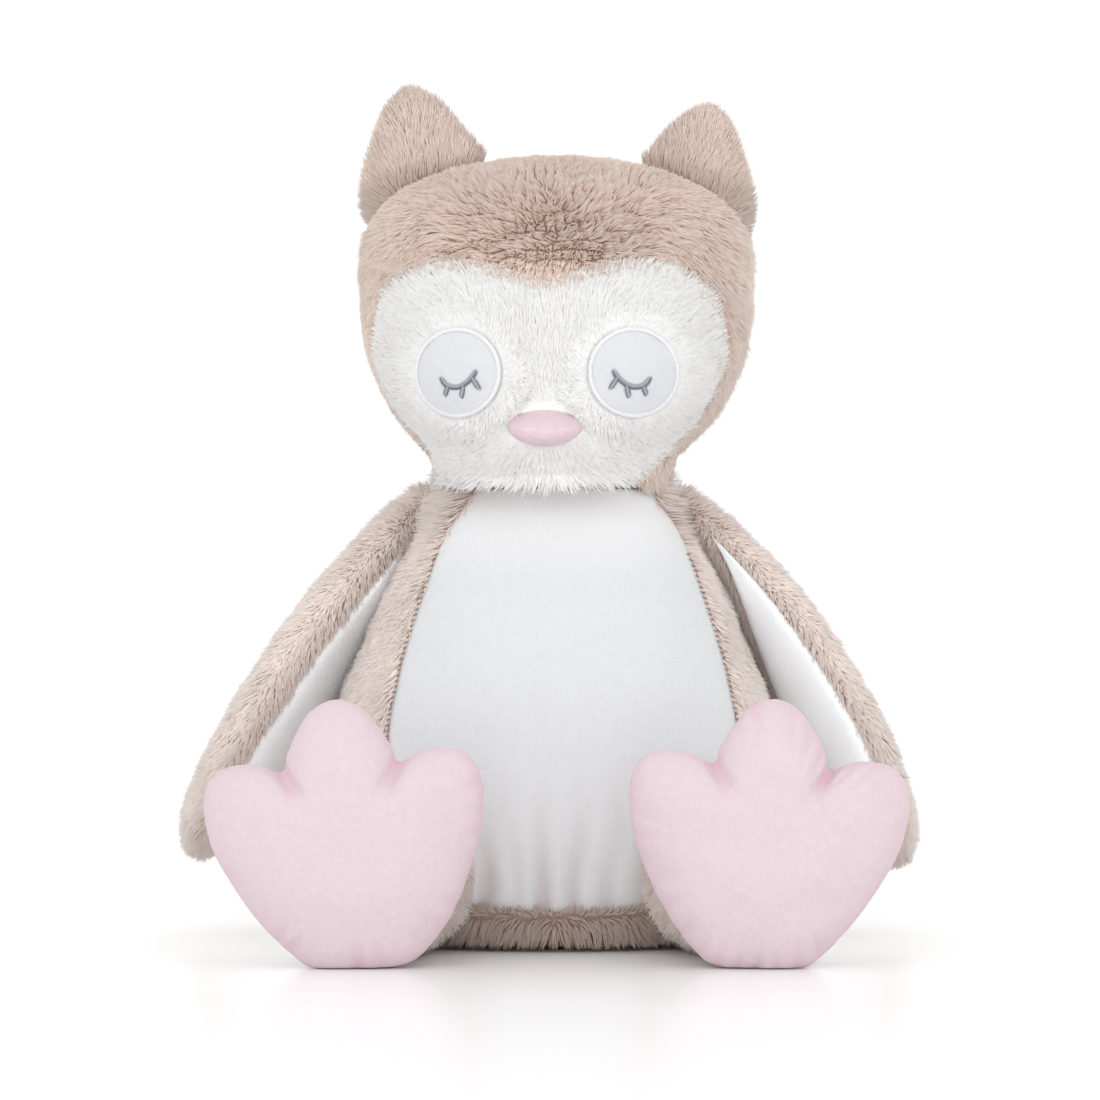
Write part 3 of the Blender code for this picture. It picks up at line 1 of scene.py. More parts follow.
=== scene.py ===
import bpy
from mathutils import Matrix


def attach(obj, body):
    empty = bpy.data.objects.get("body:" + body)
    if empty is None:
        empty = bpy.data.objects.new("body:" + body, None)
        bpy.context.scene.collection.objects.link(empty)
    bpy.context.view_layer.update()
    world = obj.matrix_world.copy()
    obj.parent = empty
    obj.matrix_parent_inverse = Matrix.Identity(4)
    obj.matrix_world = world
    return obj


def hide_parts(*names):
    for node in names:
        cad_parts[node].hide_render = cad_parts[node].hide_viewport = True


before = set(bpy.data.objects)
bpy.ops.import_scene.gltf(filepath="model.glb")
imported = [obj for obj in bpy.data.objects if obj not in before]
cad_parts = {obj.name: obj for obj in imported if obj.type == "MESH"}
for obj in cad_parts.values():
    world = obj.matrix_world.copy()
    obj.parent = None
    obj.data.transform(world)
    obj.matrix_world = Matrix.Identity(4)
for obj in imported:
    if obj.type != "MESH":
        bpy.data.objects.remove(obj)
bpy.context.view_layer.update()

import math

import bpy
import numpy as np
from mathutils import Vector

sides = {"left": -1, "right": 1}
fullTurn = 2 * math.pi
print("frame loaded:", len(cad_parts), "nodes")


# plain maths used by every piece

def easedRows(rows, t):
    # smooth values at t through rows of (t, value, ...): cubic between stations, slopes from its neighbours
    rows = np.asarray(rows, float)
    t = np.clip(np.asarray(t, float), rows[0, 0], rows[-1, 0])
    last = len(rows) - 1
    k = np.clip(np.searchsorted(rows[:, 0], t, side="left") - 1, 0, last - 1)
    before, here = rows[np.maximum(k - 1, 0)], rows[k]
    after, beyond = rows[k + 1], rows[np.minimum(k + 2, last)]
    span = after[..., :1] - here[..., :1]
    u = (t[..., None] - here[..., :1]) / span
    slopeIn = (after - before)[..., 1:] / (after[..., :1] - before[..., :1]) * span
    slopeOut = (beyond - here)[..., 1:] / (beyond[..., :1] - here[..., :1]) * span
    return (here[..., 1:] * (2 * u**3 - 3 * u**2 + 1) + after[..., 1:] * (3 * u**2 - 2 * u**3)
            + slopeIn * (u**3 - 2 * u**2 + u) + slopeOut * (u**3 - u**2))


def ovalPoint(angle, halfWidth, front, back, power):
    # a rounded oval: x is cos to the power 2/p times the half width, y is sin likewise times front or back
    c, s = np.cos(angle), np.sin(angle)
    x = np.sign(c) * np.abs(c) ** (2 / power) * halfWidth
    y = np.sign(s) * np.abs(s) ** (2 / power) * np.where(s > 0, back, front)
    return x, y


def ovalDepth(x, halfWidth, front, power):
    # how far an oval reaches towards -Y at x
    share = np.clip(np.abs(x) / halfWidth, 0, 0.999)
    return -front * (1 - share**power) ** (1 / power)


def turnY(degrees):
    c, s = math.cos(math.radians(degrees)), math.sin(math.radians(degrees))
    return np.array([[c, 0, s], [0, 1, 0], [-s, 0, c]])


def turnZ(degrees):
    c, s = math.cos(math.radians(degrees)), math.sin(math.radians(degrees))
    return np.array([[c, -s, 0], [s, c, 0], [0, 0, 1]])


def unit(v):
    return v / np.maximum(np.linalg.norm(v, axis=-1, keepdims=True), 1e-12)


def softNoise(points, size, seed, count=7):
    # waves of about this size in a few seeded directions, averaged: a smooth value from about -1 to 1
    draw = np.random.default_rng(seed)
    waves = unit(draw.normal(size=(count, 3))) * (fullTurn / size) * draw.uniform(0.6, 1.5, (count, 1))
    return np.sin(points @ waves.T + draw.uniform(0, fullTurn, count)).mean(axis=-1) * 1.5


def smoothStep(low, high, value):
    u = np.clip((value - low) / (high - low), 0, 1)
    return u * u * (3 - 2 * u)


def bell(value, middle, width):
    # 1 in the middle, fading on both sides: e to the power of minus the square of the distance over the width
    return np.exp(-((value - middle) / width) ** 2)


def insideOutline(x, z, outline):
    # even-odd test of points against a closed outline, one edge at a time over whole arrays
    hits = np.zeros(x.shape, bool)
    for (x0, z0), (x1, z1) in zip(outline, np.roll(outline, -1, axis=0)):
        crosses = (z0 > z) != (z1 > z)
        at = (x1 - x0) * (z - z0) / (z1 - z0 if abs(z1 - z0) > 1e-12 else 1e-12) + x0
        hits ^= crosses & (x < at)
    return hits


def roundCurve(points, steps):
    # a smooth closed curve through the points, Catmull-Rom between each pair
    p = np.asarray(points, float)
    a, b, c, d = (np.roll(p, -k, axis=0)[:, None] for k in (-1, 0, 1, 2))
    u = (np.arange(steps) / steps)[None, :, None]
    curve = 0.5 * (2 * b + (c - a) * u + (2 * a - 5 * b + 4 * c - d) * u**2 + (3 * b - a - 3 * c + d) * u**3)
    return curve.reshape(-1, p.shape[1])


def ringAngles(count):
    return np.linspace(0, fullTurn, count + 1)[:-1][None]


def flatRing(radius, z, around):
    return np.stack([radius * np.cos(around), radius * np.sin(around), z + 0 * around], -1)


def runLength(path):
    # distance along a path at each of its points
    return np.concatenate([[0], np.cumsum(np.linalg.norm(np.diff(path, axis=0), axis=1))])


# meshes

def triangles(polys):
    return np.concatenate([p[:, [0, i, i + 1]] for p in polys for i in range(1, p.shape[1] - 1)])


def outward(points, polys):
    # turns all faces round if the closed shape's signed volume is negative
    t = points[triangles(polys)]
    volume = np.einsum("ij,ij->i", t[:, 0], np.cross(t[:, 1], t[:, 2])).sum()
    return [p[:, ::-1] for p in polys] if volume < 0 else polys


def pointNormals(points, polys):
    tris = triangles(polys)
    corner = points[tris]
    face = np.cross(corner[:, 1] - corner[:, 0], corner[:, 2] - corner[:, 0])
    normals = np.zeros_like(points)
    for k in range(3):
        np.add.at(normals, tris[:, k], face)
    return unit(normals)


def makePiece(name, points, polys, look, body, slotName, replaced=(), values=None, uv=None, fill=None,
              normals=None):
    mesh = bpy.data.meshes.new(name)
    mesh.vertices.add(len(points))
    mesh.vertices.foreach_set("co", np.ascontiguousarray(points, np.float32).ravel())
    corners = np.concatenate([p.ravel() for p in polys])
    counts = np.concatenate([np.full(len(p), p.shape[1]) for p in polys])
    starts = np.concatenate([[0], np.cumsum(counts)[:-1]])
    mesh.loops.add(len(corners))
    mesh.loops.foreach_set("vertex_index", corners.astype(np.int32))
    mesh.polygons.add(len(counts))
    mesh.polygons.foreach_set("loop_start", starts.astype(np.int32))
    mesh.update(calc_edges=True)
    for key, value in (values or {}).items():
        mesh.attributes.new(key, "FLOAT", "POINT").data.foreach_set("value", value.astype(np.float32))
    if uv is not None:
        mesh.uv_layers.new(name="OFBake").data.foreach_set("uv", uv.astype(np.float32).ravel())
    mesh.shade_smooth()
    if normals is not None:
        mesh.normals_split_custom_set(normals.astype(np.float32))
    mesh.materials.append(looks[look])
    piece = bpy.data.objects.new(name, mesh)
    bpy.context.scene.collection.objects.link(piece)
    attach(piece, body)
    if replaced:
        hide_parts(*replaced)
    return piece


def gridQuads(rows, cols, loop=False, ring=True):
    # faces between neighbours in a grid of points, which may close on itself along rows or round columns
    steps = np.arange(rows if loop else rows - 1), np.arange(cols if ring else cols - 1)
    i, j = np.meshgrid(*steps, indexing="ij")
    n, k = (i + 1) % rows, (j + 1) % cols
    return np.stack([i * cols + j, i * cols + k, n * cols + k, n * cols + j], -1).reshape(-1, 4)


def ringFaces(rows, cols):
    # faces between rings of points, and fans that close both ends on two points added after them
    j = np.arange(cols)
    k = (j + 1) % cols
    first = np.stack([k, j, np.full(cols, rows * cols)], -1)
    last = np.stack([(rows - 1) * cols + j, (rows - 1) * cols + k, np.full(cols, rows * cols + 1)], -1)
    return [gridQuads(rows, cols), np.concatenate([first, last])]


def closedRings(rings):
    # rings of points from one end to the other, joined round and along, with a point closing each end
    points = np.concatenate([rings.reshape(-1, 3), rings[0].mean(0)[None], rings[-1].mean(0)[None]])
    return points, outward(points, ringFaces(*rings.shape[:2]))


def closedSheet(front, back):
    # a front and a back grid of the same size, joined along their four edges
    rows, cols = front.shape[:2]
    points = np.concatenate([front.reshape(-1, 3), back.reshape(-1, 3)])
    face = gridQuads(rows, cols, ring=False)
    edge = np.concatenate([np.arange(cols - 1), np.arange(rows - 1) * cols + cols - 1,
                           (rows - 1) * cols + np.arange(cols - 1, 0, -1), np.arange(rows - 1, 0, -1) * cols])
    ahead = np.roll(edge, -1)
    n = rows * cols
    wall = np.stack([edge, edge + n, ahead + n, ahead], -1)
    return points, outward(points, [np.concatenate([face, face[:, ::-1] + n, wall])])


def tubes(paths, radius, around=6):
    # many short threads at once: each path of k points carries a ring, narrowed at its ends and closed there
    count, steps = paths.shape[:2]
    along = unit(np.gradient(paths, axis=1))
    side = unit(np.cross(along, np.array([0.31, 0.93, 0.17])))        # a direction that no thread follows
    up = np.cross(along, side)
    angle = np.arange(around) / around * fullTurn
    taper = np.sqrt(np.clip(1 - np.linspace(-0.94, 0.94, steps) ** 6, 0, 1))[None, :, None, None]
    ring = side[:, :, None] * np.cos(angle)[:, None] + up[:, :, None] * np.sin(angle)[:, None]
    rings = paths[:, :, None] + ring * radius * taper
    points = np.concatenate([rings.reshape(count, -1, 3), paths[:, :1], paths[:, -1:]], axis=1)
    shift = (np.arange(count) * points.shape[1])[:, None, None]
    polys = [(faces[None] + shift).reshape(-1, faces.shape[1]) for faces in ringFaces(steps, around)]
    points = points.reshape(-1, 3)
    return points, outward(points, polys)


# finishes

def lin(r, g, b):
    # a colour as seen, made linear
    seen = np.array([r, g, b])
    return (*np.where(seen < 0.04045, seen / 12.92, ((seen + 0.055) / 1.055) ** 2.4), 1.0)


def newLook(name):
    look = bpy.data.materials.new(name)
    look.use_nodes = True
    return look, look.node_tree, look.node_tree.nodes["Principled BSDF"]


def feed(tree, node, inputs):
    # another node's output is linked to the input, anything else is its plain value
    for key, value in inputs.items():
        if isinstance(value, bpy.types.NodeSocket):
            tree.links.new(value, node.inputs[key])
        else:
            node.inputs[key].default_value = value


def addNode(tree, kind, inputs=None, **settings):
    node = tree.nodes.new("ShaderNode" + kind)
    for key, value in settings.items():
        setattr(node, key, value)
    feed(tree, node, inputs or {})
    return node


def meshValue(tree, name):
    return addNode(tree, "Attribute", attribute_name=name).outputs["Fac"]


def grainBump(tree, shader, scale, strength, distance, stretch=(1, 1, 1)):
    # fine unevenness on Object coordinates, as bump; the grain's value serves the colour too
    coords = addNode(tree, "TexCoord").outputs["Object"]
    place = addNode(tree, "Mapping", {"Vector": coords, "Scale": stretch}).outputs["Vector"]
    grain = addNode(tree, "TexNoise", {"Vector": place, "Scale": scale, "Detail": 4}).outputs["Fac"]
    bump = addNode(tree, "Bump", {"Strength": strength, "Distance": distance, "Height": grain})
    feed(tree, shader, {"Normal": bump.outputs["Normal"]})
    return grain


def colourRamp(tree, factor, stops):
    # from colour to colour at stops of (place, colour as seen)
    ramp = addNode(tree, "ValToRGB", {"Fac": factor})
    elements = ramp.color_ramp.elements
    for _ in stops[2:]:
        elements.new(0.5)
    for element, (at, colour) in zip(elements, stops):
        element.position, element.color = at, lin(*colour)
    return ramp.outputs["Color"]


def twoTone(tree, factor, low, high):
    return colourRamp(tree, factor, [(0.3, low), (0.7, high)])


def mixIn(tree, under, attribute, colour):
    # a second colour over the first, as far as the mesh's attribute says
    inputs = {"Factor": meshValue(tree, attribute), "A": under, "B": lin(*colour)}
    return addNode(tree, "Mix", inputs, data_type="RGBA").outputs["Result"]


def pileLook(name, stops, tintSpan, sheen):
    # strands: root to tip colour from the pile value, each lock lighter or darker by its tint
    look, tree, shader = newLook(name)
    colour = colourRamp(tree, meshValue(tree, "pile"), stops)
    span = {"Value": meshValue(tree, "tint"), "To Min": tintSpan[0], "To Max": tintSpan[1]}
    value = addNode(tree, "MapRange", span).outputs["Result"]
    shade = addNode(tree, "HueSaturation", {"Color": colour, "Value": value}).outputs["Color"]
    feed(tree, shader, {"Base Color": shade, "Roughness": 0.85, "Specular IOR Level": 0.15,
                        "Sheen Weight": sheen, "Sheen Roughness": 0.5, "Sheen Tint": lin(0.98, 0.95, 0.92)})
    return look


def backingLook(name, low, high):
    # knitted ground of a pile fabric, between the roots
    look, tree, shader = newLook(name)
    grain = grainBump(tree, shader, 900, 0.6, 0.0006)
    feed(tree, shader, {"Base Color": twoTone(tree, grain, low, high), "Roughness": 0.95})
    return look


def clothLook(name, low, high, weave, nap, sheen, paintedLightAndShade=()):
    # smooth cloth: a fine weave of two crossed wave patterns and a cloudy nap; attributes may add painted
    # light and shade
    look, tree, shader = newLook(name)
    coords = addNode(tree, "TexCoord").outputs["Object"]
    wave = {"Vector": coords, "Scale": weave, "Distortion": 1.4, "Detail": 2, "Detail Scale": 2.5}
    warp, weft = (addNode(tree, "TexWave", wave, bands_direction=way).outputs["Fac"] for way in "XZ")
    cross = addNode(tree, "Math", {0: warp, 1: weft}, operation="MULTIPLY").outputs["Value"]
    cloud = addNode(tree, "TexNoise", {"Vector": coords, "Scale": nap, "Detail": 6}).outputs["Fac"]
    height = addNode(tree, "Math", {0: cross, 1: cloud}, operation="ADD").outputs["Value"]
    bump = addNode(tree, "Bump", {"Strength": 0.35, "Distance": 0.0003, "Height": height}).outputs["Normal"]
    colour = twoTone(tree, cloud, low, high)
    for attribute, shade in paintedLightAndShade:
        colour = mixIn(tree, colour, attribute, shade)
    feed(tree, shader, {"Base Color": colour, "Normal": bump, "Roughness": 0.9, "Specular IOR Level": 0.2,
                        "Sheen Weight": sheen, "Sheen Roughness": 0.4})
    return look


def threadLook(name, low, high, pale=None):
    # shiny embroidery thread, streaked by fine fibres; the middle of a stroke may be paler
    look, tree, shader = newLook(name)
    colour = twoTone(tree, grainBump(tree, shader, 2600, 0.5, 0.0001), low, high)
    if pale:
        colour = mixIn(tree, colour, "pale", pale)
    feed(tree, shader, {"Base Color": colour, "Roughness": 0.42, "Sheen Weight": 0.2})
    return look


def hardLook(name, low, high, roughness, metallic, scale, strength, stretch=(1, 1, 1), coat=0.0):
    # moulded or metal finish: fine grain in the colour, in the roughness and as bump
    look, tree, shader = newLook(name)
    grain = grainBump(tree, shader, scale, strength, 0.0002, stretch)
    span = {"Value": grain, "To Min": roughness * 0.8, "To Max": roughness * 1.2}
    feed(tree, shader, {"Base Color": twoTone(tree, grain, low, high), "Metallic": metallic,
                        "Coat Weight": coat, "Roughness": addNode(tree, "MapRange", span).outputs["Result"]})
    return look


beigeStops = [(0.0, (0.70, 0.575, 0.505)), (0.36, (0.905, 0.815, 0.76)), (1.0, (0.966, 0.903, 0.862))]
# painted light: the beige pile made paler and less saturated for the body, wings and legs, where more light
# falls on them
paleLitStops = [(0.0, (0.80, 0.70, 0.64)), (0.34, (0.945, 0.885, 0.85)), (1.0, (0.985, 0.95, 0.928))]
whiteStops = [(0.0, (0.955, 0.953, 0.943)), (0.42, (0.963, 0.962, 0.954)), (1.0, (0.968, 0.968, 0.962))]
# feet: painted shade in the creases and puckers, and a painted velour sheen along the seam
footPaintedShade = [("fold", (0.84, 0.69, 0.735))]
# belly: painted light under the chin and at the gathers, painted shade in the hollows of the gathers
bellyPaintedLightAndShade = [("clear", (0.90, 0.902, 0.91)), ("fold", (0.79, 0.75, 0.76))]
plain = (1, 1, 1)        # no stretch of the grain
lookTable = {
    pileLook: {
        "beigePile": (beigeStops, (0.74, 1.06), 0.2),
        # painted light: a paler copy of the beige pile
        "palePile": (paleLitStops, (0.78, 1.06), 0.25),
        "whitePile": (whiteStops, (0.93, 1.0), 0.15),
    },
    backingLook: {
        "beigeBacking": ((0.68, 0.575, 0.515), (0.74, 0.64, 0.58)),
        "whiteBacking": ((0.94, 0.935, 0.92), (0.96, 0.955, 0.945)),
    },
    clothLook: {
        "seatCloth": ((0.68, 0.57, 0.50), (0.76, 0.66, 0.59), 420, 700, 0.3),
        "bellyCloth": ((0.812, 0.818, 0.828), (0.827, 0.832, 0.84), 420, 350, 0.1, bellyPaintedLightAndShade),
        "liningCloth": ((0.955, 0.968, 0.985), (0.965, 0.977, 0.99), 420, 350, 0.5),
        "footVelour": ((0.812, 0.748, 0.772), (0.832, 0.77, 0.79), 520, 420, 0.2, footPaintedShade),
        "eyeSatin": ((0.81, 0.815, 0.83), (0.825, 0.83, 0.845), 900, 300, 0.1),
    },
    threadLook: {
        "whiteThread": ((0.86, 0.865, 0.875), (0.90, 0.90, 0.905)),
        "lashThread": ((0.34, 0.35, 0.39), (0.48, 0.49, 0.53), (0.66, 0.67, 0.71)),
        "seamThread": ((0.42, 0.34, 0.29), (0.55, 0.46, 0.40)),
    },
    hardLook: {
        "beakPlastic": ((0.80, 0.712, 0.742), (0.815, 0.73, 0.756), 0.28, 0, 260, 0.05, plain, 0.3),
    },
}
looks = {name: make(name, *values) for make, rows in lookTable.items() for name, values in rows.items()}
print("finishes made:", len(looks))


# pile

lockForm = {
    "under": 0.0006,       # a lock starts this far under the skin
    "clear": 0.001,        # and is tested against other pieces this far over it
    "floor": 0.0006,       # no tip goes lower
    "most": 49000,         # locks in one piece
    "bins": 96,            # locks of like tint share one strip of the map, root below and tip above
    "strip": np.array([[0.1, 0.02], [0.9, 0.02], [0.5, 0.06], [0.5, 0.98]]),
    "faces": np.array([[0, 1, 3], [1, 2, 3], [2, 0, 3], [0, 2, 1]]),
    "level": np.array([0, 0, 0, 1.0]),
    "quickSpacing": 1.7,
}


def cubeNumber(points, size):
    # each point's cube of this size, counted row by row
    cell = np.floor(points / size).astype(np.int64)
    cell -= cell.min(0)
    rows = cell.max(0) + 1
    return (cell[:, 0] * rows[1] + cell[:, 1]) * rows[2] + cell[:, 2]


def scatter(points, polys, spacing, seed):
    # random places on the faces by area, thinned to one for each small cube, so that they lie evenly
    draw = np.random.default_rng(seed)
    tris = triangles(polys)
    corner = points[tris]
    area = np.linalg.norm(np.cross(corner[:, 1] - corner[:, 0], corner[:, 2] - corner[:, 0]), axis=1) / 2
    count = int(area.sum() / spacing**2 * 3)
    pick = np.searchsorted(np.cumsum(area), draw.uniform(0, area.sum(), count))
    pick = np.minimum(pick, len(tris) - 1)
    a, b = np.sqrt(draw.uniform(size=count)), draw.uniform(size=count)
    share = np.stack([1 - a, a * (1 - b), a * b], -1)[..., None]
    places = (corner[pick] * share).sum(1)
    normals = pointNormals(points, polys)[tris[pick]]
    normals = unit((normals * share).sum(1))
    _, kept = np.unique(cubeNumber(places, spacing), return_index=True)
    return places[kept], normals[kept], draw


def noPaintedShade(p):
    return np.zeros(len(p))


def lockTips(root, normal, pile, draw, flowAt, solids):
    # each lock leans along the flow, more or less by soft waves and by chance; its tip is drawn towards the
    # mean tip of the locks that share its cube, so that locks gather in clumps, and kept out of other pieces
    count, seed, wander = len(root), pile["seed"], pile["wander"]
    flow, stand, long, tuft = flowAt(root, normal)
    flow = unit(flow - (flow * normal).sum(1, keepdims=True) * normal)
    turn = wander * (1.4 * softNoise(root, 0.022, seed + 1) + 0.8 * draw.normal(size=count))
    across = np.cross(normal, flow)
    flow = flow * np.cos(turn)[:, None] + across * np.sin(turn)[:, None]
    sway = wander * (0.6 * softNoise(root, 0.012, seed + 2) + 0.3 * draw.normal(size=count))
    lean = np.clip(stand + sway, 0.1, 1.4)
    length = (pile["length"] * long * (1 + 0.13 * draw.normal(size=count).clip(-2, 2)))[:, None]
    tip = root + length * (normal * np.cos(lean)[:, None] + flow * np.sin(lean)[:, None])
    wavy = root + 0.4 * pile["clump"] * np.stack([softNoise(root, 0.011, k) for k in (5, 6, 7)], -1)
    _, group = np.unique(cubeNumber(wavy, pile["clump"]), return_inverse=True)
    size = np.bincount(group)
    meanTip = np.stack([np.bincount(group, tip[:, k]) / size for k in range(3)], -1)[group]
    gather = np.minimum(pile["gather"] * tuft[:, None] * draw.uniform(0.4, 1.2, (count, 1)), 0.95)
    strayed = np.linalg.norm(meanTip - tip, axis=1) / pile["clump"]
    tip = tip + (meanTip - tip) * gather
    for solid in solids:
        deep = solid(tip) | solid((tip + root) / 2)
        tip[deep] = (root + (tip - root) * 0.5 - normal * lockForm["clear"])[deep]
    tip[:, 2] = np.maximum(tip[:, 2], lockForm["floor"])
    groupTint = draw.uniform(size=len(size))[group]
    patch = 0.5 + 0.5 * softNoise(root, 0.05, seed + 3)
    tint = 0.25 * groupTint + 0.40 * draw.uniform(size=count) + 0.35 * patch
    # painted shade: a lock that strays from its clump's middle is darker, as the gaps between clumps are
    # shaded
    return tip, across, tint - pile["gap"] * smoothStep(0.35, 0.75, strayed)


def lockShapes(root, normal, tip, across, pile, draw):
    # a closed three-sided spike for each lock, shaded mostly by the skin's own normal, as dense pile is
    start = root - normal * lockForm["under"]
    run = unit(tip - start)
    width = pile["width"] * draw.uniform(0.7, 1.25, (len(root), 1))
    wide = unit(np.cross(run, normal) + 1e-6 * across) * width
    thick = unit(np.cross(wide, run)) * pile["width"]
    half, edge = wide * 0.5, thick * 0.2
    verts = np.stack([start - half - edge, start + half - edge, start + thick * 0.4, tip], 1)
    tilt = pile["tilt"] * unit(wide)
    ahead = 0.7 * pile["tilt"] * run
    soft = np.stack([unit(normal - tilt), unit(normal + tilt), normal, unit(normal + ahead)], 1)
    faces = outward(verts[0], [lockForm["faces"]])[0]
    corner, soft = verts[:, faces], soft[:, faces]
    flat = unit(np.cross(corner[:, :, 1] - corner[:, :, 0], corner[:, :, 2] - corner[:, :, 0]))[:, :, None]
    return verts, faces, unit(soft + flat * np.maximum(0.3 - (soft * flat).sum(-1, keepdims=True), 0))


def growPile(name, body, skin, pile, flowAt, keepAt, solids=(), paintedShadeAt=noPaintedShade):
    # locks on the skin where keepAt allows, cut into pieces along the split direction
    spacing = pile["spacing"] * 1.0
    root, normal, draw = scatter(*skin, spacing, pile["seed"])
    keep = keepAt(root, normal)
    for solid in solids:
        keep &= ~solid(root + normal * lockForm["clear"])
    root, normal = root[keep], normal[keep]
    tip, across, tint = lockTips(root, normal, pile, draw, flowAt, solids)
    # painted shade: the shade function darkens the locks' tint where shade falls
    tint = np.clip(tint + pile["light"] - paintedShadeAt(root), 0, 0.999)
    verts, shape, soft = lockShapes(root, normal, tip, across, pile, draw)
    order = np.argsort(root @ np.array(pile["split"]))
    parts = np.array_split(order, max(1, math.ceil(len(root) / lockForm["most"])))
    for number, chosen in enumerate(parts):
        n = len(chosen)
        faces = (shape[None] + (np.arange(n) * 4)[:, None, None]).reshape(-1, 3)
        column = np.floor(tint[chosen] * lockForm["bins"])[:, None, None, None] * np.array([1, 0])
        uv = ((column + lockForm["strip"][shape][None]) / np.array([lockForm["bins"], 1])).reshape(-1, 2)
        values = {"pile": np.tile(lockForm["level"], n), "tint": np.repeat(tint[chosen], 4)}
        label = name if len(parts) == 1 else name + "ABCDEFGH"[number]
        makePiece(label, verts[chosen].reshape(-1, 3), [faces], pile["look"], body, pile["slot"],
                  values=values, uv=uv, normals=soft[chosen].reshape(-1, 3))
    print(name, "locks:", len(root), "in", len(parts), "pieces")


# body

bodyForm = {
    "height": 0.202, "halfWidth": 0.101, "front": 0.094, "back": 0.088, "neck": 0.047,
    "dome": 0.016, "power": 2.25,
    "swell": [(0, 0.77, 0), (0.05, 0.905, 0), (0.20, 1, 0), (0.40, 0.99, 0), (0.60, 0.915, 0),
              (0.80, 0.775, 0.15), (0.93, 0.62, 0.60), (1, 0.47, 1)],
    "waist": 0.0042, "waistAt": 0.66, "waistLong": 0.15,       # how much, where and how far its sides draw in
    "sink": 0.0016,        # the knitted ground lies this far under the solid's surface
    "low": 0.0012,         # lowest ring of the cover
    "ceiling": 0.0125,     # inside of the base, over the zip
    "bellyRoom": 0.004,    # the cover gives way this far behind the belly panel
}


def bodySizes(level, grow):
    # half width, front, back and power at a share of the height: size times swell, rounder towards the neck
    table = easedRows(bodyForm["swell"], level)
    swell, roundness = table[..., 0], table[..., 1]
    sizes = [bodyForm[k] * swell * (1 - roundness) + bodyForm["neck"] * roundness + grow
             for k in ("halfWidth", "front", "back")]
    sizes[0] = sizes[0] - bodyForm["waist"] * bell(level, bodyForm["waistAt"], bodyForm["waistLong"])
    return (*sizes, bodyForm["power"] - (bodyForm["power"] - 2) * roundness)


def bodyPoint(level, angle, grow):
    x, y = ovalPoint(angle, *bodySizes(level, grow))
    return np.stack([x, y, level * bodyForm["height"] + 0 * x], -1)


def bodyFrontAt(x, z):
    halfWidth, front, _, power = bodySizes(np.asarray(z) / bodyForm["height"], 0.0)
    return ovalDepth(x, halfWidth, front, power)


def insideBody(p):
    halfWidth, front, back, power = bodySizes(p[:, 2] / bodyForm["height"], -0.002)
    depth = np.where(p[:, 1] > 0, back, front)
    deep = np.abs(p[:, 0] / halfWidth) ** power + np.abs(p[:, 1] / depth) ** power < 1
    return deep & (p[:, 2] > 0) & (p[:, 2] < bodyForm["height"])


bellyForm = {
    "shift": 0.004, "bottom": 0.0165, "lift": 0.0035, "top": 0.2005, "thick": 0.0042,
    "half": [(0.018, 0.050), (0.0515, 0.0690), (0.085, 0.077), (0.119, 0.0721), (0.1478, 0.0639),
             (0.1803, 0.0519), (0.199, 0.0395)],
    "across": 131, "up": 151,
    "tuck": 0.0036, "crown": 0.0015, "slack": 0.0007,       # the edge is sewn in, the middle stands out
    "gather": 0.0032,      # height of the gathers at the bottom
    "gatherUp": 0.028,     # how fast they fade upwards
    # share, length, how far they wander and phase of the waves that make the gathers
    "waves": [(1.0, 0.01426, 1.0, 0.0), (0.7, 0.0186, 0.6, 1.1), (0.45, 0.0034 * fullTurn, -1.0, 0.4)],
    "stitchFrom": 0.03, "stitchTo": 0.172, "stitchStep": 0.0024, "thread": 0.00032,
}


def bellyHalf(z):
    return easedRows(bellyForm["half"], z)[..., 0]


def bellyLow(x):
    # height of the panel's bowed bottom edge
    return bellyForm["bottom"] + bellyForm["lift"] * ((x - bellyForm["shift"]) / 0.05) ** 2


def onBelly(p, margin):
    # points of the body's front that the belly panel covers
    half = bellyHalf(p[:, 2]) - margin
    low = bellyLow(p[:, 0]) + margin
    return (p[:, 1] < 0) & (np.abs(p[:, 0] - bellyForm["shift"]) < half) & (p[:, 2] > low)


def makeBody():
    around = ringAngles(180)
    sink, low, height = bodyForm["sink"], bodyForm["low"], bodyForm["height"]
    under = bodyPoint(np.full((1, 1), low / height), around, -sink - 0.004)
    rings = []
    for share in (0.3, 0.65, 0.9, 1.0):
        ring = under * np.array([share, share, 1])
        ring[..., 2] = bodyForm["ceiling"]
        rings.append(ring)
    rings.append(under + np.array([0, 0, 0.003]))
    levels = np.concatenate([np.linspace(low / height, 0.06, 12), np.linspace(0.075, 1, 90)])[:, None]
    rings.append(bodyPoint(levels, around, -sink))
    for degrees in (20, 40, 60, 78):
        turn = math.radians(degrees)
        top = height + (bodyForm["dome"] - sink) * math.sin(turn)
        rings.append(flatRing((bodyForm["neck"] - sink) * math.cos(turn), top, around))
    points, polys = closedRings(np.concatenate(rings))
    points[:, 1] += bodyForm["bellyRoom"] * onBelly(points, 0.001)
    makePiece("bodyCover", points, polys, "beigeBacking", "torso", "fur", ("body_cover", "body_filling"),
              fill=0.85)
    return points, polys


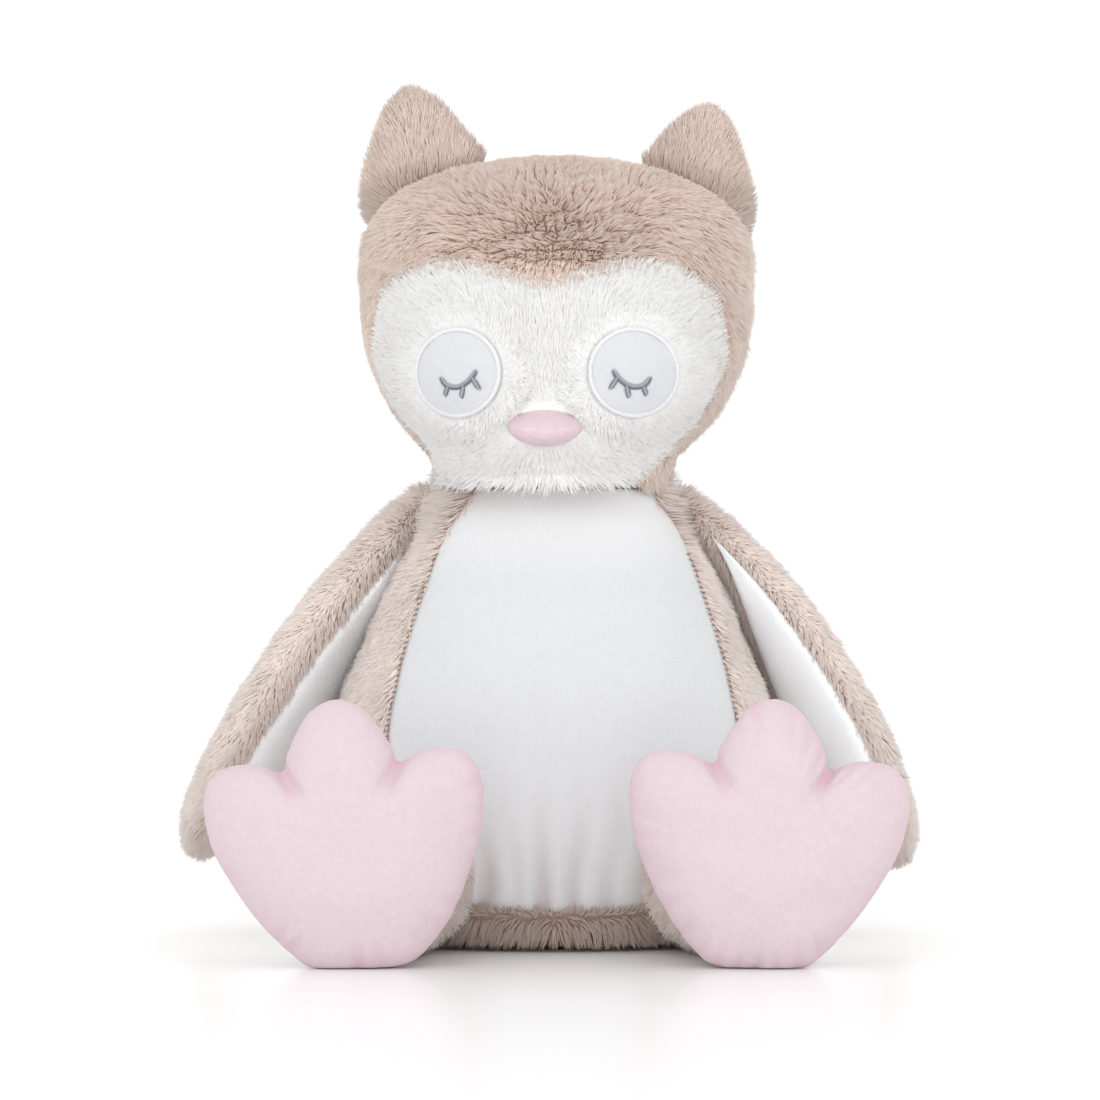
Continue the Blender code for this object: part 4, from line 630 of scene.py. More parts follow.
def makeBelly():
    # x runs across by the half width at each height, z up from a bowed edge, y follows the body's front;
    # the edges sink into the seam, and narrow gathers rise from the bottom edge and fade upwards
    s = np.linspace(-1, 1, bellyForm["across"])[None]
    t = np.linspace(0, 1, bellyForm["up"])[:, None] ** 1.15
    (lowest, _), *_, (highest, _) = bellyForm["half"]
    half = bellyHalf(lowest + (highest - lowest) * t)
    x = bellyForm["shift"] + s * half
    bottom = bellyForm["bottom"] + bellyForm["lift"] * s**2
    z = bottom + (bellyForm["top"] - bottom) * t
    edge = np.minimum((1 - np.abs(s)) * half, (z - bottom) * 0.9 + 0.0002)
    crown = bellyForm["crown"] * smoothStep(0, 0.03, edge) - bellyForm["tuck"] * np.exp(-edge / 0.0022)
    grid = np.stack([x, bodyFrontAt(x, z), z], -1)
    wander = 0.004 * softNoise(grid, 0.05, 31)
    fold = sum(share * np.sin((x + follow * wander) / long * fullTurn + phase)
               for share, long, follow, phase in bellyForm["waves"])
    strength = bellyForm["gather"] * (0.65 + 0.5 * softNoise(grid * np.array([1, 0, 0.25]), 0.03, 33))
    fade = np.exp(-((z - bottom) / bellyForm["gatherUp"]) ** 1.3) * smoothStep(0, 0.004, z - bottom)
    slack = bellyForm["slack"] * softNoise(grid, 0.06, 35) * smoothStep(0, 0.02, edge)
    push = crown + np.maximum(0.5 * strength * (fold + 0.5) * fade, -0.0012) + slack
    front = grid - push[..., None] * np.array([0, 1, 0])
    points, polys = closedSheet(front, grid + np.array([0, bellyForm["thick"], 0]))
    # painted shade: darker in the hollows of the gathers; painted light: paler under the chin and at the
    # gathers, to lift the shade there
    paintedHollowShade = np.clip(fade * np.clip(0.4 - fold, 0, 2) * 0.4, 0, 1)
    clear = np.maximum(smoothStep(0.155, 0.19, z), 0.85 * smoothStep(0.10, 0.03, z))
    values = {key: np.concatenate([value.ravel(), np.zeros(value.size)])
              for key, value in (("fold", paintedHollowShade), ("clear", clear))}
    makePiece("belly", points, polys, "bellyCloth", "torso", "smooth_white", ("belly_panel",), values,
              fill=0.8)
    makeBellyStitches()


def makeBellyStitches():
    # a row of overlocked stitches along both long edges of the belly
    z = np.arange(bellyForm["stitchFrom"], bellyForm["stitchTo"], bellyForm["stitchStep"])
    step = np.linspace(0, 1, 5)[None, :, None]
    rows = []
    for sign in (-1, 1):
        x = bellyForm["shift"] + sign * (bellyHalf(z) + 0.0002)
        inner, outer = x - sign * 0.0009, x + sign * 0.0010
        a = np.stack([inner, bodyFrontAt(inner, z) + 0.0007, z + 0.0005], -1)
        b = np.stack([outer, bodyFrontAt(outer, z) + 0.0007, z - 0.0006], -1)
        path = a[:, None] * (1 - step) + b[:, None] * step
        path[..., 1] -= 0.0006 * np.sin(step[..., 0] * math.pi)
        rows.append(path)
    points, polys = tubes(np.concatenate(rows), bellyForm["thread"])
    makePiece("bellyStitches", points, polys, "seamThread", "torso", "smooth_white")


seatForm = {
    "inset": 0.0045, "low": 0.0010, "high": 0.0058, "zipBack": 0.026, "slotHalf": 0.053, "slotWide": 0.008,
    "slotPower": 9, "quilt": 0.0006, "lip": 0.0012,
}


def makeSeat():
    # the flat base: every ray from the zip's middle runs from the slot's edge to the oval rim, over and under
    angle = ringAngles(240)
    c, s = np.cos(angle[0]), np.sin(angle[0])
    rim = bodyPoint(np.full((1, 1), 0.02), angle, -seatForm["inset"])[0]
    rim[:, 2] = 0
    power = seatForm["slotPower"]
    across, deep = np.abs(c / seatForm["slotHalf"]) ** power, np.abs(s / seatForm["slotWide"]) ** power
    reach = (across + deep) ** (-1 / power)
    slot = np.stack([reach * c, seatForm["zipBack"] + reach * s, 0 * c], -1)
    share = np.linspace(0, 1, 26)[:, None, None]
    flat = slot[None] * (1 - share) + rim[None] * share
    inside = smoothStep(0, 0.1, share) * smoothStep(1, 0.9, share)
    quilt = seatForm["quilt"] * softNoise(flat, 0.02, 51)[..., None] * np.array([0, 0, 1]) * inside
    under = flat + np.array([0, 0, seatForm["low"]]) + quilt
    under[[0, -1], :, 2] += seatForm["lip"]
    over = flat + np.array([0, 0, seatForm["high"]])
    loop = np.concatenate([under, over[::-1]])
    points = loop.reshape(-1, 3)
    polys = outward(points, [gridQuads(*loop.shape[:2], loop=True)])
    makePiece("seatBase", points, polys, "seatCloth", "torso", "seat_fur", ("seat_panel",), fill=0.3)


# head, in its own frame at the neck seam

headForm = {
    "height": 0.145, "halfWidth": 0.0855, "front": 0.080, "back": 0.074, "power": 2.35, "turn": -3.0,
    "neckSeam": 0.202, "sink": 0.0012,
    "swell": [(0.05, 0.600, 0.86, 0.70), (0.12, 0.650, 0.93, 0.76), (0.18, 0.745, 0.97, 0.82),
              (0.27, 0.860, 0.995, 0.90), (0.42, 0.965, 0.99, 0.975), (0.58, 1, 0.95, 1),
              (0.73, 0.985, 0.87, 0.975), (0.87, 0.89, 0.72, 0.83), (0.95, 0.70, 0.53, 0.62),
              (1, 0.38, 0.28, 0.33)],
    # radius and height of the neck opening's rings, then share and rise of the rings that close the crown
    "opening": [(0.012, 0.0185), (0.03, 0.0185), (0.043, 0.017), (0.0475, 0.008), (0.0475, 0.0012),
                (0.0492, 0.0006)],
    "crown": [(0.8, 0.0012), (0.55, 0.0022), (0.25, 0.0028)],
}
headTurn = turnZ(headForm["turn"])
headSpot = np.array([0, 0, headForm["neckSeam"]])


def headToWorld(p):
    return p @ headTurn.T + headSpot


def toHead(p):
    return (p - headSpot) @ headTurn


def headSizes(level, grow):
    table = easedRows(headForm["swell"], level)
    return [headForm[k] * table[..., n] + grow for n, k in enumerate(("halfWidth", "front", "back"))]


def headPoint(level, angle, grow):
    x, y = ovalPoint(angle, *headSizes(level, grow), headForm["power"])
    return np.stack([x, y, level * headForm["height"] + 0 * x], -1)


def headFrontAt(x, z, grow=0.0):
    halfWidth, front, _ = headSizes(np.asarray(z) / headForm["height"], grow)
    return ovalDepth(x, halfWidth, front, headForm["power"])


def headShare(p, grow=0.0):
    # 1 on the head's surface at the point's own height, less inside
    q = toHead(p)
    halfWidth, front, back = headSizes(q[:, 2] / headForm["height"], grow)
    power = headForm["power"]
    return (np.abs(q[:, 0] / halfWidth) ** power
            + np.abs(q[:, 1] / np.where(q[:, 1] > 0, back, front)) ** power) ** (1 / power)


def insideHead(p):
    z = p[:, 2] - headForm["neckSeam"]
    return (headShare(p, -0.002) < 1) & (z > 0.004) & (z < headForm["height"])


def makeHead():
    around = ringAngles(180)
    sink = headForm["sink"]
    rings = [flatRing(radius, z, around) for radius, z in headForm["opening"]]
    levels = np.linspace(headForm["swell"][0][0], 1, 110)[:, None]
    shell = headPoint(levels, around, -sink)
    rings.append(rings[-1] * 0.45 + shell[:1] * 0.55)
    shell[..., 2] -= sink * smoothStep(0.8, 1.0, levels)
    rings.append(shell)
    for share, rise in headForm["crown"]:
        rings.append(shell[-1:] * np.array([share, share, 1]) + np.array([0, 0, rise]))
    points, polys = closedRings(np.concatenate(rings))
    skin = (headToWorld(points), polys)
    makePiece("headCover", *skin, "beigeBacking", "head", "fur", ("head_cover", "head_filling"), fill=0.9)
    return skin


# face

faceForm = {
    "wide": 0.0735, "top": 0.0945, "notch": 0.0880, "middle": 0.050,
    # right half from brow to chin, as shares of the width and the height
    "cheek": [(0.60, 1), (0.86, 0.925), (0.955, 0.83), (1, 0.64), (0.965, 0.42), (0.81, 0.20)],
    "reach": 0.93,                           # no wider than this share of the head
    "slant": 0.65, "corner": 0.0267,         # slope and start of the cut at one side of the chin
    "front": 0.0004, "back": 0.0030,
}
eyeForm = {
    "radius": 0.0187, "spread": 0.0385, "height": 0.0484, "proud": 0.0016, "crown": 0.0012, "rim": 0.0019,
    "stitches": 232, "arch": 0.0010, "thread": 0.00033,
}
beakForm = {"halfWidth": 0.0168, "halfHeight": 0.0086, "depth": 0.0088, "height": 0.0252, "droop": 0.0026}


def faceOutline(grow=0.0):
    # a heart: notch of the brow, two brow lobes, full cheeks and a narrower chin, cut slanting on one side;
    # no wider than a share of the head
    wide, top, notch = (faceForm[k] + grow for k in ("wide", "top", "notch"))
    cheek = [(wide * x, top * z) for x, z in faceForm["cheek"]]
    right = [(wide * 0.27, notch + (top - notch) * 0.62), *cheek, (wide * 0.62, top * 0.055 - grow)]
    left = [(-x, z) for x, z in reversed(right)]
    points = roundCurve([(0, notch), *right, (0, top * 0.03 - grow), *left], 6)
    limit = faceForm["reach"] * headSizes(points[:, 1] / headForm["height"], 0.0)[0]
    points[:, 0] = np.clip(points[:, 0], -limit, limit)
    points[:, 1] = np.maximum(points[:, 1], faceForm["slant"] * (points[:, 0] - faceForm["corner"]) - grow)
    return points


def onFace(p, grow):
    q = toHead(p)
    return insideOutline(q[:, 0], q[:, 2], faceOutline(grow)) & (q[:, 1] < 0)


def makeFace():
    # the heart's outline shrunk towards its middle in steps, laid on the head's front
    outline = faceOutline(0.0005)
    centre = np.array([0, faceForm["middle"]])
    share = np.linspace(1, 0.03, 40)[:, None, None]
    flat = centre + (outline - centre)[None] * share
    x, z = flat[..., 0], flat[..., 1]
    y = headFrontAt(x, z, -headForm["sink"])
    proud = faceForm["front"]
    front = np.stack([x, y - proud - proud * smoothStep(1, 0.9, share[..., 0]), z], -1)
    back = np.stack([x, y + faceForm["back"], z], -1)
    points, polys = closedRings(np.concatenate([back[::-1], front]))
    skin = (headToWorld(points), polys)
    makePiece("facePanel", *skin, "whiteBacking", "head", "white_fur", ("face_panel",), fill=0.5)
    return skin


def eyeDistance(q):
    near = [np.hypot(q[:, 0] - sign * eyeForm["spread"], q[:, 2] - eyeForm["height"]) for sign in (-1, 1)]
    return np.minimum(*near)


def beakDistance(q):
    # 1 on the beak's rim
    return np.hypot(q[:, 0] / beakForm["halfWidth"], (q[:, 2] - beakForm["height"]) / beakForm["halfHeight"])


def makeEyes():
    # a crowned disc on the face, then a border of satin stitches that cross its rim
    angle = ringAngles(96)
    share = np.concatenate([np.linspace(0.04, 0.9, 18), [0.95, 0.98, 1.0]])[:, None]
    turn = np.arange(eyeForm["stitches"]) / eyeForm["stitches"] * fullTurn
    cross = np.linspace(-1, 1, 6)[None]
    radius, cz = eyeForm["radius"], eyeForm["height"]
    for side, sign in sides.items():
        cx = sign * eyeForm["spread"]
        x, z = cx + radius * share * np.cos(angle), cz + radius * share * np.sin(angle)
        slack = 0.0003 * softNoise(np.stack([x, 0 * x, z], -1), 0.014, 61)
        lift = eyeForm["proud"] + eyeForm["crown"] * (1 - share**2) + slack
        front = np.stack([x, headFrontAt(x, z) - lift, z], -1)
        back = np.stack([x, headFrontAt(x, z) + 0.0006, z], -1)
        points, polys = closedRings(np.concatenate([front, back[::-1]]))
        makePiece("eye_disc_" + side, headToWorld(points), polys, "eyeSatin", "head", "eye_felt",
                  ("eye_" + side,))
        reach = radius + eyeForm["rim"] / 2 * cross + 0.00012 * np.sin(turn * 57)[:, None]
        spin = turn[:, None] + 0.012 * cross
        x, z = cx + reach * np.cos(spin), cz + reach * np.sin(spin)
        arch = eyeForm["arch"] * np.sqrt(np.clip(1 - (cross * 0.97) ** 2, 0, 1))
        path = np.stack([x, headFrontAt(x, z) - eyeForm["proud"] - arch + 0.0004, z], -1)
        points, polys = tubes(path, eyeForm["thread"])
        makePiece("eye_border_" + side, headToWorld(points), polys, "whiteThread", "head", "eye_felt")


lashForm = {
    # lid and lash paths in mm from the eye's middle, on the left eye: x, z pairs
    "lid": [(-7.0, -2.2), (-5.2, -4.9), (-2.4, -6.2), (0.6, -6.3), (4.0, -4.8), (6.8, -2.2), (9.0, 0.7)],
    "hairs": [((-3.9, -5.9), (-5.6, -10.0)), ((3.2, -5.9), (1.9, -11.0)), ((7.2, -2.6), (10.1, -7.4))],
    "stitch": 0.00045, "half": 0.0011, "thread": 0.00029, "around": 6, "arch": 0.0006,
    "palest": {"lid": 0.45, "hair": 0.0},        # the lid is paler above its middle, a hair along it
}


def lashStroke(path, sign):
    # satin stitch: threads laid side by side across the stroke, arched over the eye's disc
    run = runLength(path)
    at = np.arange(0, run[-1], lashForm["stitch"])
    curved = len(path) > 2
    if curved:
        place = easedRows(np.column_stack([run, path]), at)
    else:
        place = path[0] + (path[1] - path[0]) * (at / run[-1])[:, None]
    along = unit(np.gradient(place, axis=0))
    normal = np.stack([-along[:, 1], along[:, 0]], -1)
    width = lashForm["half"] * (0.55 + 0.45 * np.clip(np.minimum(at, run[-1] - at) / 0.0012, 0, 1))
    cross = np.linspace(-1, 1, 6)
    flat = place[:, None] + normal[:, None] * (width[:, None] * cross)[..., None]
    flat = flat + along[:, None] * (0.0004 * cross)[None, :, None]
    x = sign * eyeForm["spread"] - sign * flat[..., 0]
    z = eyeForm["height"] + flat[..., 1]
    disc = eyeForm["crown"] * (1 - (flat[..., 0] ** 2 + flat[..., 1] ** 2) / eyeForm["radius"] ** 2)
    arch = lashForm["arch"] * np.sqrt(np.clip(1 - (cross * 0.95) ** 2, 0, 1))
    lift = eyeForm["proud"] + disc + 0.00015 + arch
    pale = bell(cross, lashForm["palest"]["lid" if curved else "hair"], 0.4)
    return np.stack([x, headFrontAt(x, z) - lift, z], -1), np.tile(pale, (len(at), 1))


def makeLashes():
    paths = [np.array(path) / 1000 for path in [lashForm["lid"], *lashForm["hairs"]]]
    for side, sign in sides.items():
        rows, pale = (np.concatenate(part) for part in zip(*(lashStroke(path, sign) for path in paths)))
        points, polys = tubes(rows, lashForm["thread"], lashForm["around"])
        ringPale = np.repeat(pale, lashForm["around"], axis=1)
        pale = np.concatenate([ringPale, pale[:, :1], pale[:, -1:]], axis=1).ravel()
        makePiece("lash_" + side, headToWorld(points), polys, "lashThread", "head", "lash",
                  ("lashes_" + side,), {"pale": pale})


def makeBeak():
    # almond rings: the height follows sin to a power just over 1, the dome is a rounded power and droops
    angle = ringAngles(120)
    share = np.concatenate([np.linspace(0.03, 0.9, 26), [0.94, 0.97, 0.99, 1.0]])[:, None]
    halfWidth, height = beakForm["halfWidth"], beakForm["height"]
    s = np.sin(angle)
    x = halfWidth * share * np.cos(angle)
    tall = beakForm["halfHeight"] * np.where(s > 0, 0.93, 1.04)
    z = height + tall * share * np.sign(s) * np.abs(s) ** 1.14
    seat, face = (headFrontAt(np.array(at), np.array(height)) for at in (halfWidth, 0.0))
    dome = (1 - share**2.3) ** 0.62 + 0 * angle
    front = np.stack([x, seat - dome * (beakForm["depth"] + seat - face), z - beakForm["droop"] * dome], -1)
    back = np.stack([x, np.maximum(headFrontAt(x, z) + 0.003, front[..., 1] + 0.001), z], -1)
    points, polys = closedRings(np.concatenate([front, back[::-1]]))
    makePiece("beakShell", headToWorld(points), polys, "beakPlastic", "head", "beak", ("beak",))


# ears

earForm = {
    "length": 0.077, "halfWidth": 0.036, "halfThick": 0.0175, "spread": 0.051, "sink": 0.0016, "power": 2.2,
    "root": {"left": 0.100, "right": 0.0925}, "lean": {"left": 7.0, "right": 12.0},
    "slim": 0.23,                                    # its outer edge is drawn in this much near the root
    "slimIn": {"left": 0.05, "right": 0.09},         # and its inner edge towards the tip
    "bend": {"left": 0.0042, "right": 0.0028},       # the tip leans out this far
    "swell": [(0, 0.72, 0.8), (0.1, 0.88, 0.93), (0.22, 0.95, 0.98), (0.34, 0.935, 0.97), (0.55, 0.78, 0.84),
              (0.78, 0.53, 0.64), (0.92, 0.33, 0.44), (1, 0.13, 0.2)],
}


def earPlace(side):
    sign = sides[side]
    return turnY(sign * earForm["lean"][side]), np.array([sign * earForm["spread"], 0, earForm["root"][side]])


def toEar(p, side):
    turn, spot = earPlace(side)
    return (toHead(p) - spot) @ turn


def earDraw(x, level, side):
    # the share of its width left at x: drawn in outside near the root and inside towards the tip
    outer = earForm["slim"] * bell(level, 0.20, 0.24)
    inner = earForm["slimIn"][side] * bell(level, 0.72, 0.25)
    return 1 - np.where(np.sign(x) == sides[side], outer, inner)


def earShare(p, side, grow=0.0):
    # 1 on the ear's surface, less inside, far beyond its ends
    q = toEar(p, side)
    level = q[:, 2] / earForm["length"]
    table = easedRows(earForm["swell"], level)
    table[:, 0] *= earDraw(q[:, 0], level, side)
    wide, thick = earForm["halfWidth"] * table[:, 0] + grow, earForm["halfThick"] * table[:, 1] + grow
    beyond = (q[:, 2] < 0) | (q[:, 2] > earForm["length"])
    return np.hypot(q[:, 0] / wide, q[:, 1] / thick) + 9 * beyond


def insideEar(side):
    return lambda p: earShare(p, side, -0.004) < 1


def makeEar(side):
    level = np.linspace(0.0, 1, 64)[:, None]
    table = easedRows(earForm["swell"], level)
    sink = earForm["sink"] * (1 - 0.5 * smoothStep(0.85, 1, level))
    wide = np.maximum(earForm["halfWidth"] * table[..., 0] - sink, 0.002)
    thick = np.maximum(earForm["halfThick"] * table[..., 1] - sink, 0.0016)
    x, y = ovalPoint(ringAngles(96), wide, thick, thick, earForm["power"])
    x = x * earDraw(x, level, side)
    x = x + sides[side] * earForm["bend"][side] * level**1.5
    points, polys = closedRings(np.stack([x, y, level * earForm["length"] + 0 * x], -1))
    turn, spot = earPlace(side)
    skin = (headToWorld(points @ turn.T + spot), polys)
    makePiece("ear_cover_" + side, *skin, "beigeBacking", "head", "fur", ("ear_" + side,), fill=0.7)
    return skin


# wings, each in a frame at its shoulder, hanging along -Z with its inner face towards -X

wingForm = {
    "length": 0.189, "halfChord": 0.047, "halfThick": 0.0155, "bow": 0.002,
    "shoulder": (0.05184, 0.012, 0.190),
    "hang": {"left": 34.5, "right": 32.5}, "twist": {"left": 16.0, "right": 28.0},
    "sink": {"left": 0.0008, "right": 0.0026},
    "cap": 0.006, "capTurns": [80, 62, 42, 22],        # height and rings of the rounded cap over the shoulder
    "swell": [(0, 0.30, 0.55), (0.12, 0.62, 0.84), (0.30, 0.90, 1), (0.52, 1, 1), (0.72, 0.91, 0.92),
              (0.87, 0.68, 0.76), (0.95, 0.44, 0.56), (1, 0.14, 0.26)],
    "liningLevels": (0.10, 0.93), "liningFront": {"left": 54.0, "right": 62.0},
    # degrees from the middle of the inner face to the lining's back edge, along the wing
    "liningBack": {
        "left": [(0.05, -44), (0.12, -41), (0.18, -34), (0.27, -22), (0.35, -12), (0.45, 0), (0.52, 10),
                 (0.65, 25), (0.80, 40), (0.95, 50)],
        "right": [(0.05, -58), (0.10, -54), (0.17, -46), (0.26, -34), (0.36, -22), (0.49, -9), (0.62, 4),
                  (0.78, 25), (0.95, 45)],
    },
    "liningProud": 0.0030, "liningTuck": 0.0016, "liningDeep": 0.0020,
}


def wingMatrix(side):
    flip = np.array([sides[side], 1, 1])
    turn = np.diag(flip) @ turnY(-wingForm["hang"][side]) @ turnZ(wingForm["twist"][side])
    return turn, flip * np.array(wingForm["shoulder"]) + turn @ np.array([wingForm["halfThick"] * 0.35, 0, 0])


def wingPoint(level, angle, grow):
    table = easedRows(wingForm["swell"], level)
    bow = wingForm["bow"] * 4 * level * (1 - level)
    x = (wingForm["halfThick"] * table[..., 1] + grow) * np.cos(angle) + bow
    y = (wingForm["halfChord"] * table[..., 0] + grow) * np.sin(angle)
    return np.stack([x, y, -level * wingForm["length"] + 0 * x], -1)


def wingToWorld(p, side):
    turn, spot = wingMatrix(side)
    return p @ turn.T + spot


def toWing(p, side):
    turn, spot = wingMatrix(side)
    return (p - spot) @ turn


def wingFrame(q):
    # level along the wing, angle round it and share of the way out to its surface
    level = np.clip(-q[:, 2] / wingForm["length"], 0, 1)
    table = easedRows(wingForm["swell"], level)
    x = (q[:, 0] - wingForm["bow"] * 4 * level * (1 - level)) / (wingForm["halfThick"] * table[:, 1])
    y = q[:, 1] / (wingForm["halfChord"] * table[:, 0])
    return level, np.arctan2(y, x), np.hypot(x, y)


def insideWing(side):
    def test(p):
        q = toWing(p, side)
        return (wingFrame(q)[2] < 0.9) & (q[:, 2] < 0) & (q[:, 2] > -wingForm["length"])
    return test


def liningSpan(level, side):
    # middle and half width of the lining as angles on the inner face, drawn in to a round at both ends
    low, high = wingForm["liningLevels"]
    v = (level - (low + high) / 2) / ((high - low) / 2)
    front, back = wingForm["liningFront"][side], easedRows(wingForm["liningBack"][side], level)[..., 0]
    half = (front + back) / 2 * np.sqrt(np.clip(1 - np.abs(v) ** 5, 0.0, 1))
    return v, np.radians((front - back) / 2), np.radians(half)


def makeWing(side):
    level = np.concatenate([np.linspace(0, 0.9, 80), np.linspace(0.91, 1, 14)])[:, None]
    end = smoothStep(0.9, 1, level)
    rings = wingPoint(level, ringAngles(120), -wingForm["sink"][side] * (1 - 0.55 * end))
    rings[..., 2] += 0.001 * end
    turn = np.radians(wingForm["capTurns"])[:, None, None]
    cap = rings[:1] * np.concatenate([np.cos(turn), np.cos(turn), 0 * turn], -1)
    cap[..., 2] = wingForm["cap"] * np.sin(turn[..., 0])
    points, polys = closedRings(np.concatenate([cap, rings]))
    points = wingToWorld(points, side)
    skin = (points, outward(points, polys))
    makePiece("wing_cover_" + side, *skin, "beigeBacking", "wing_" + side, "fur", ("wing_" + side,), fill=0.6)
    makeLining(side)
    return skin


def makeLining(side):
    # a leaf on the wing's inner face, crowned, with its edges drawn in
    u = np.linspace(-1, 1, 61)[None]
    v = np.linspace(-1, 1, 121)[:, None]
    low, high = wingForm["liningLevels"]
    at = (low + high) / 2 + (high - low) / 2 * v
    _, middle, half = liningSpan(at, side)
    angle = math.pi + middle + np.maximum(half, 0.02) * u
    near = (1 - np.abs(u) ** 6) * (1 - np.abs(v) ** 14)
    bend = 0.0006 * softNoise(wingPoint(at, angle, 0.0), 0.035, 71 + sides[side])
    proud = -wingForm["liningTuck"] * (1 - near) + wingForm["liningProud"] * near + bend * near
    back = wingPoint(at, angle, -wingForm["sink"][side] - wingForm["liningDeep"])
    points, polys = closedSheet(wingPoint(at, angle, proud), back)
    points = wingToWorld(points, side)
    makePiece("lining_" + side, points, outward(points, polys), "liningCloth", "wing_" + side, "smooth_white",
              ("wing_lining_" + side,), fill=0.4)


# legs and feet

legForm = {
    "radius": 0.033, "rootRadius": 0.028, "splay": 0.026, "start": -0.0376, "end": -0.155, "sink": 0.0034,
    "from": -0.060, "to": -0.1375, "low": 0.004,
}
footForm = {
    "halfWidth": 0.0585, "height": 0.112, "halfThick": 0.021, "reach": 0.155, "middle": 0.46, "low": 0.0004,
    "spread": {"left": 0.0815, "right": 0.0850}, "roll": {"left": 5.0, "right": 3.5},
    "outline": [(0, 1), (0.17, 0.968), (0.30, 0.89), (0.38, 0.82), (0.45, 0.765), (0.66, 0.785),
                (0.90, 0.755), (1.0, 0.645), (0.945, 0.45), (0.775, 0.235), (0.575, 0.085),
                (0.36, 0.0), (0, -0.02)],
    "taper": {"left": (0.0, 0.20), "right": (0.10, 0.20)},        # the sole draws in, inner and outer side
    "slim": 0.80,          # thickness before it is blown up, as a share
}
footCloth = {
    "scale": 8.0, "stiff": 18.0, "bend": 0.4, "pressure": 4.0, "frames": 20, "cap": 0.0045,
    "free": np.array([0.3, 1.0, 0.3]),        # the seam line holds its outline, the faces swell
}
footSewing = {
    "notches": [(-0.43, 0.765), (0.43, 0.765)],   # where the creases start, as shares of the outline
    "creaseLong": 0.024, "creaseDeep": 0.0034, "creaseWide": 0.0030, "creaseAim": -0.008,
    "slack": 0.0007, "pucker": 0.0009, "puckerSize": 0.0105, "puckerIn": 0.008, "puckerAt": 0.0045,
    "rim": 0.055,          # distance from the seam to the middle, on the whole
}


def legCentre(y, side):
    share = np.clip((y - legForm["start"]) / (legForm["end"] - legForm["start"]), 0, 1)
    grown = np.sin(math.pi * np.minimum(share, 0.5))
    radius = legForm["rootRadius"] + (legForm["radius"] - legForm["rootRadius"]) * grown
    x = sides[side] * (footForm["spread"][side] - legForm["splay"] + legForm["splay"] * share)
    return x, 2 * legForm["radius"] - radius, radius


def insideLeg(side):
    def test(p):
        x, z, radius = legCentre(p[:, 1], side)
        within = np.hypot(p[:, 0] - x, p[:, 2] - z) < radius - 0.003
        return within & (p[:, 1] < legForm["from"]) & (p[:, 1] > legForm["end"])
    return test


def makeLeg(side):
    around = ringAngles(72)
    y = np.linspace(legForm["from"], legForm["to"], 30)[:, None]
    x, z, radius = legCentre(y, side)
    inner = radius - legForm["sink"]
    rings = np.stack([x + inner * np.cos(around), y + 0 * around, z + inner * np.sin(around)], -1)
    rings[..., 2] = np.maximum(rings[..., 2], legForm["low"])
    skin = closedRings(rings)
    makePiece("leg_cover_" + side, *skin, "beigeBacking", "leg_" + side, "fur", ("leg_" + side,), fill=0.6)
    return skin


def footOutline():
    first, *right, last = footForm["outline"]
    points = [first, *right, last, *((-x, z) for x, z in reversed(right))]
    return roundCurve(np.array(points) * [footForm["halfWidth"], footForm["height"]], 9)


def inflate(points, polys, cloth):
    # blows a closed flat bag up with Blender's cloth, at a larger scale where the solver is steady
    mesh = bpy.data.meshes.new("bag")
    mesh.from_pydata((points * cloth["scale"]).tolist(), [], [f for p in polys for f in p.tolist()])
    bag = bpy.data.objects.new("bag", mesh)
    scene = bpy.context.scene
    scene.collection.objects.link(bag)
    sim = bag.modifiers.new("Cloth", "CLOTH")
    use = sim.settings
    use.quality, use.mass, use.air_damping = 6, 0.3, 2.0
    use.tension_stiffness = use.compression_stiffness = cloth["stiff"]
    use.shear_stiffness, use.bending_stiffness = cloth["stiff"] * 0.5, cloth["bend"]
    use.use_pressure, use.uniform_pressure_force = True, cloth["pressure"]
    use.effector_weights.gravity = 0
    sim.point_cache.frame_start, sim.point_cache.frame_end = 1, cloth["frames"]
    for number in range(1, cloth["frames"] + 1):
        scene.frame_set(number)
    shaped = bag.evaluated_get(bpy.context.evaluated_depsgraph_get())
    blown = np.empty(len(points) * 3, np.float32)
    shaped.data.vertices.foreach_get("co", blown)
    bpy.data.objects.remove(bag)
    bpy.data.meshes.remove(mesh)
    scene.frame_set(1)
    return blown.reshape(-1, 3).astype(float) / cloth["scale"]


def blownUp(points, polys):
    # each point moves no further than the cap, and the whole keeps the foot's size
    move = (inflate(points, polys, footCloth) - points) * footCloth["free"]
    far = np.linalg.norm(move, axis=1, keepdims=True)
    points = points + move * np.minimum(1, footCloth["cap"] / np.maximum(far, 1e-9))
    low, high = points.min(0), points.max(0)
    size = np.array([2 * footForm["halfWidth"], 2 * footForm["halfThick"], 1.02 * footForm["height"]])
    points = (points - (low + high) / 2) / (high - low) * size
    points[:, 2] += size[2] / 2 - 0.02 * footForm["height"]
    return points


def creases(points, centre):
    # 1 along a line that runs in from each toe notch and widens, fading at its end
    groove = np.zeros(len(points))
    long = footSewing["creaseLong"]
    for at in footSewing["notches"]:
        start = np.array(at) * [footForm["halfWidth"], footForm["height"]]
        run = unit(centre + [0.0, footSewing["creaseAim"]] - start)
        rel = points[:, [0, 2]] - start
        along = rel @ run
        wide = footSewing["creaseWide"] * (0.8 + 0.5 * smoothStep(0, long, along))
        off = np.abs(rel @ np.array([-run[1], run[0]])) / wide
        fade = smoothStep(long, 0, along) * smoothStep(-0.012, -0.002, along)
        groove = np.maximum(groove, bell(off, 0, 1) * fade)
    return groove


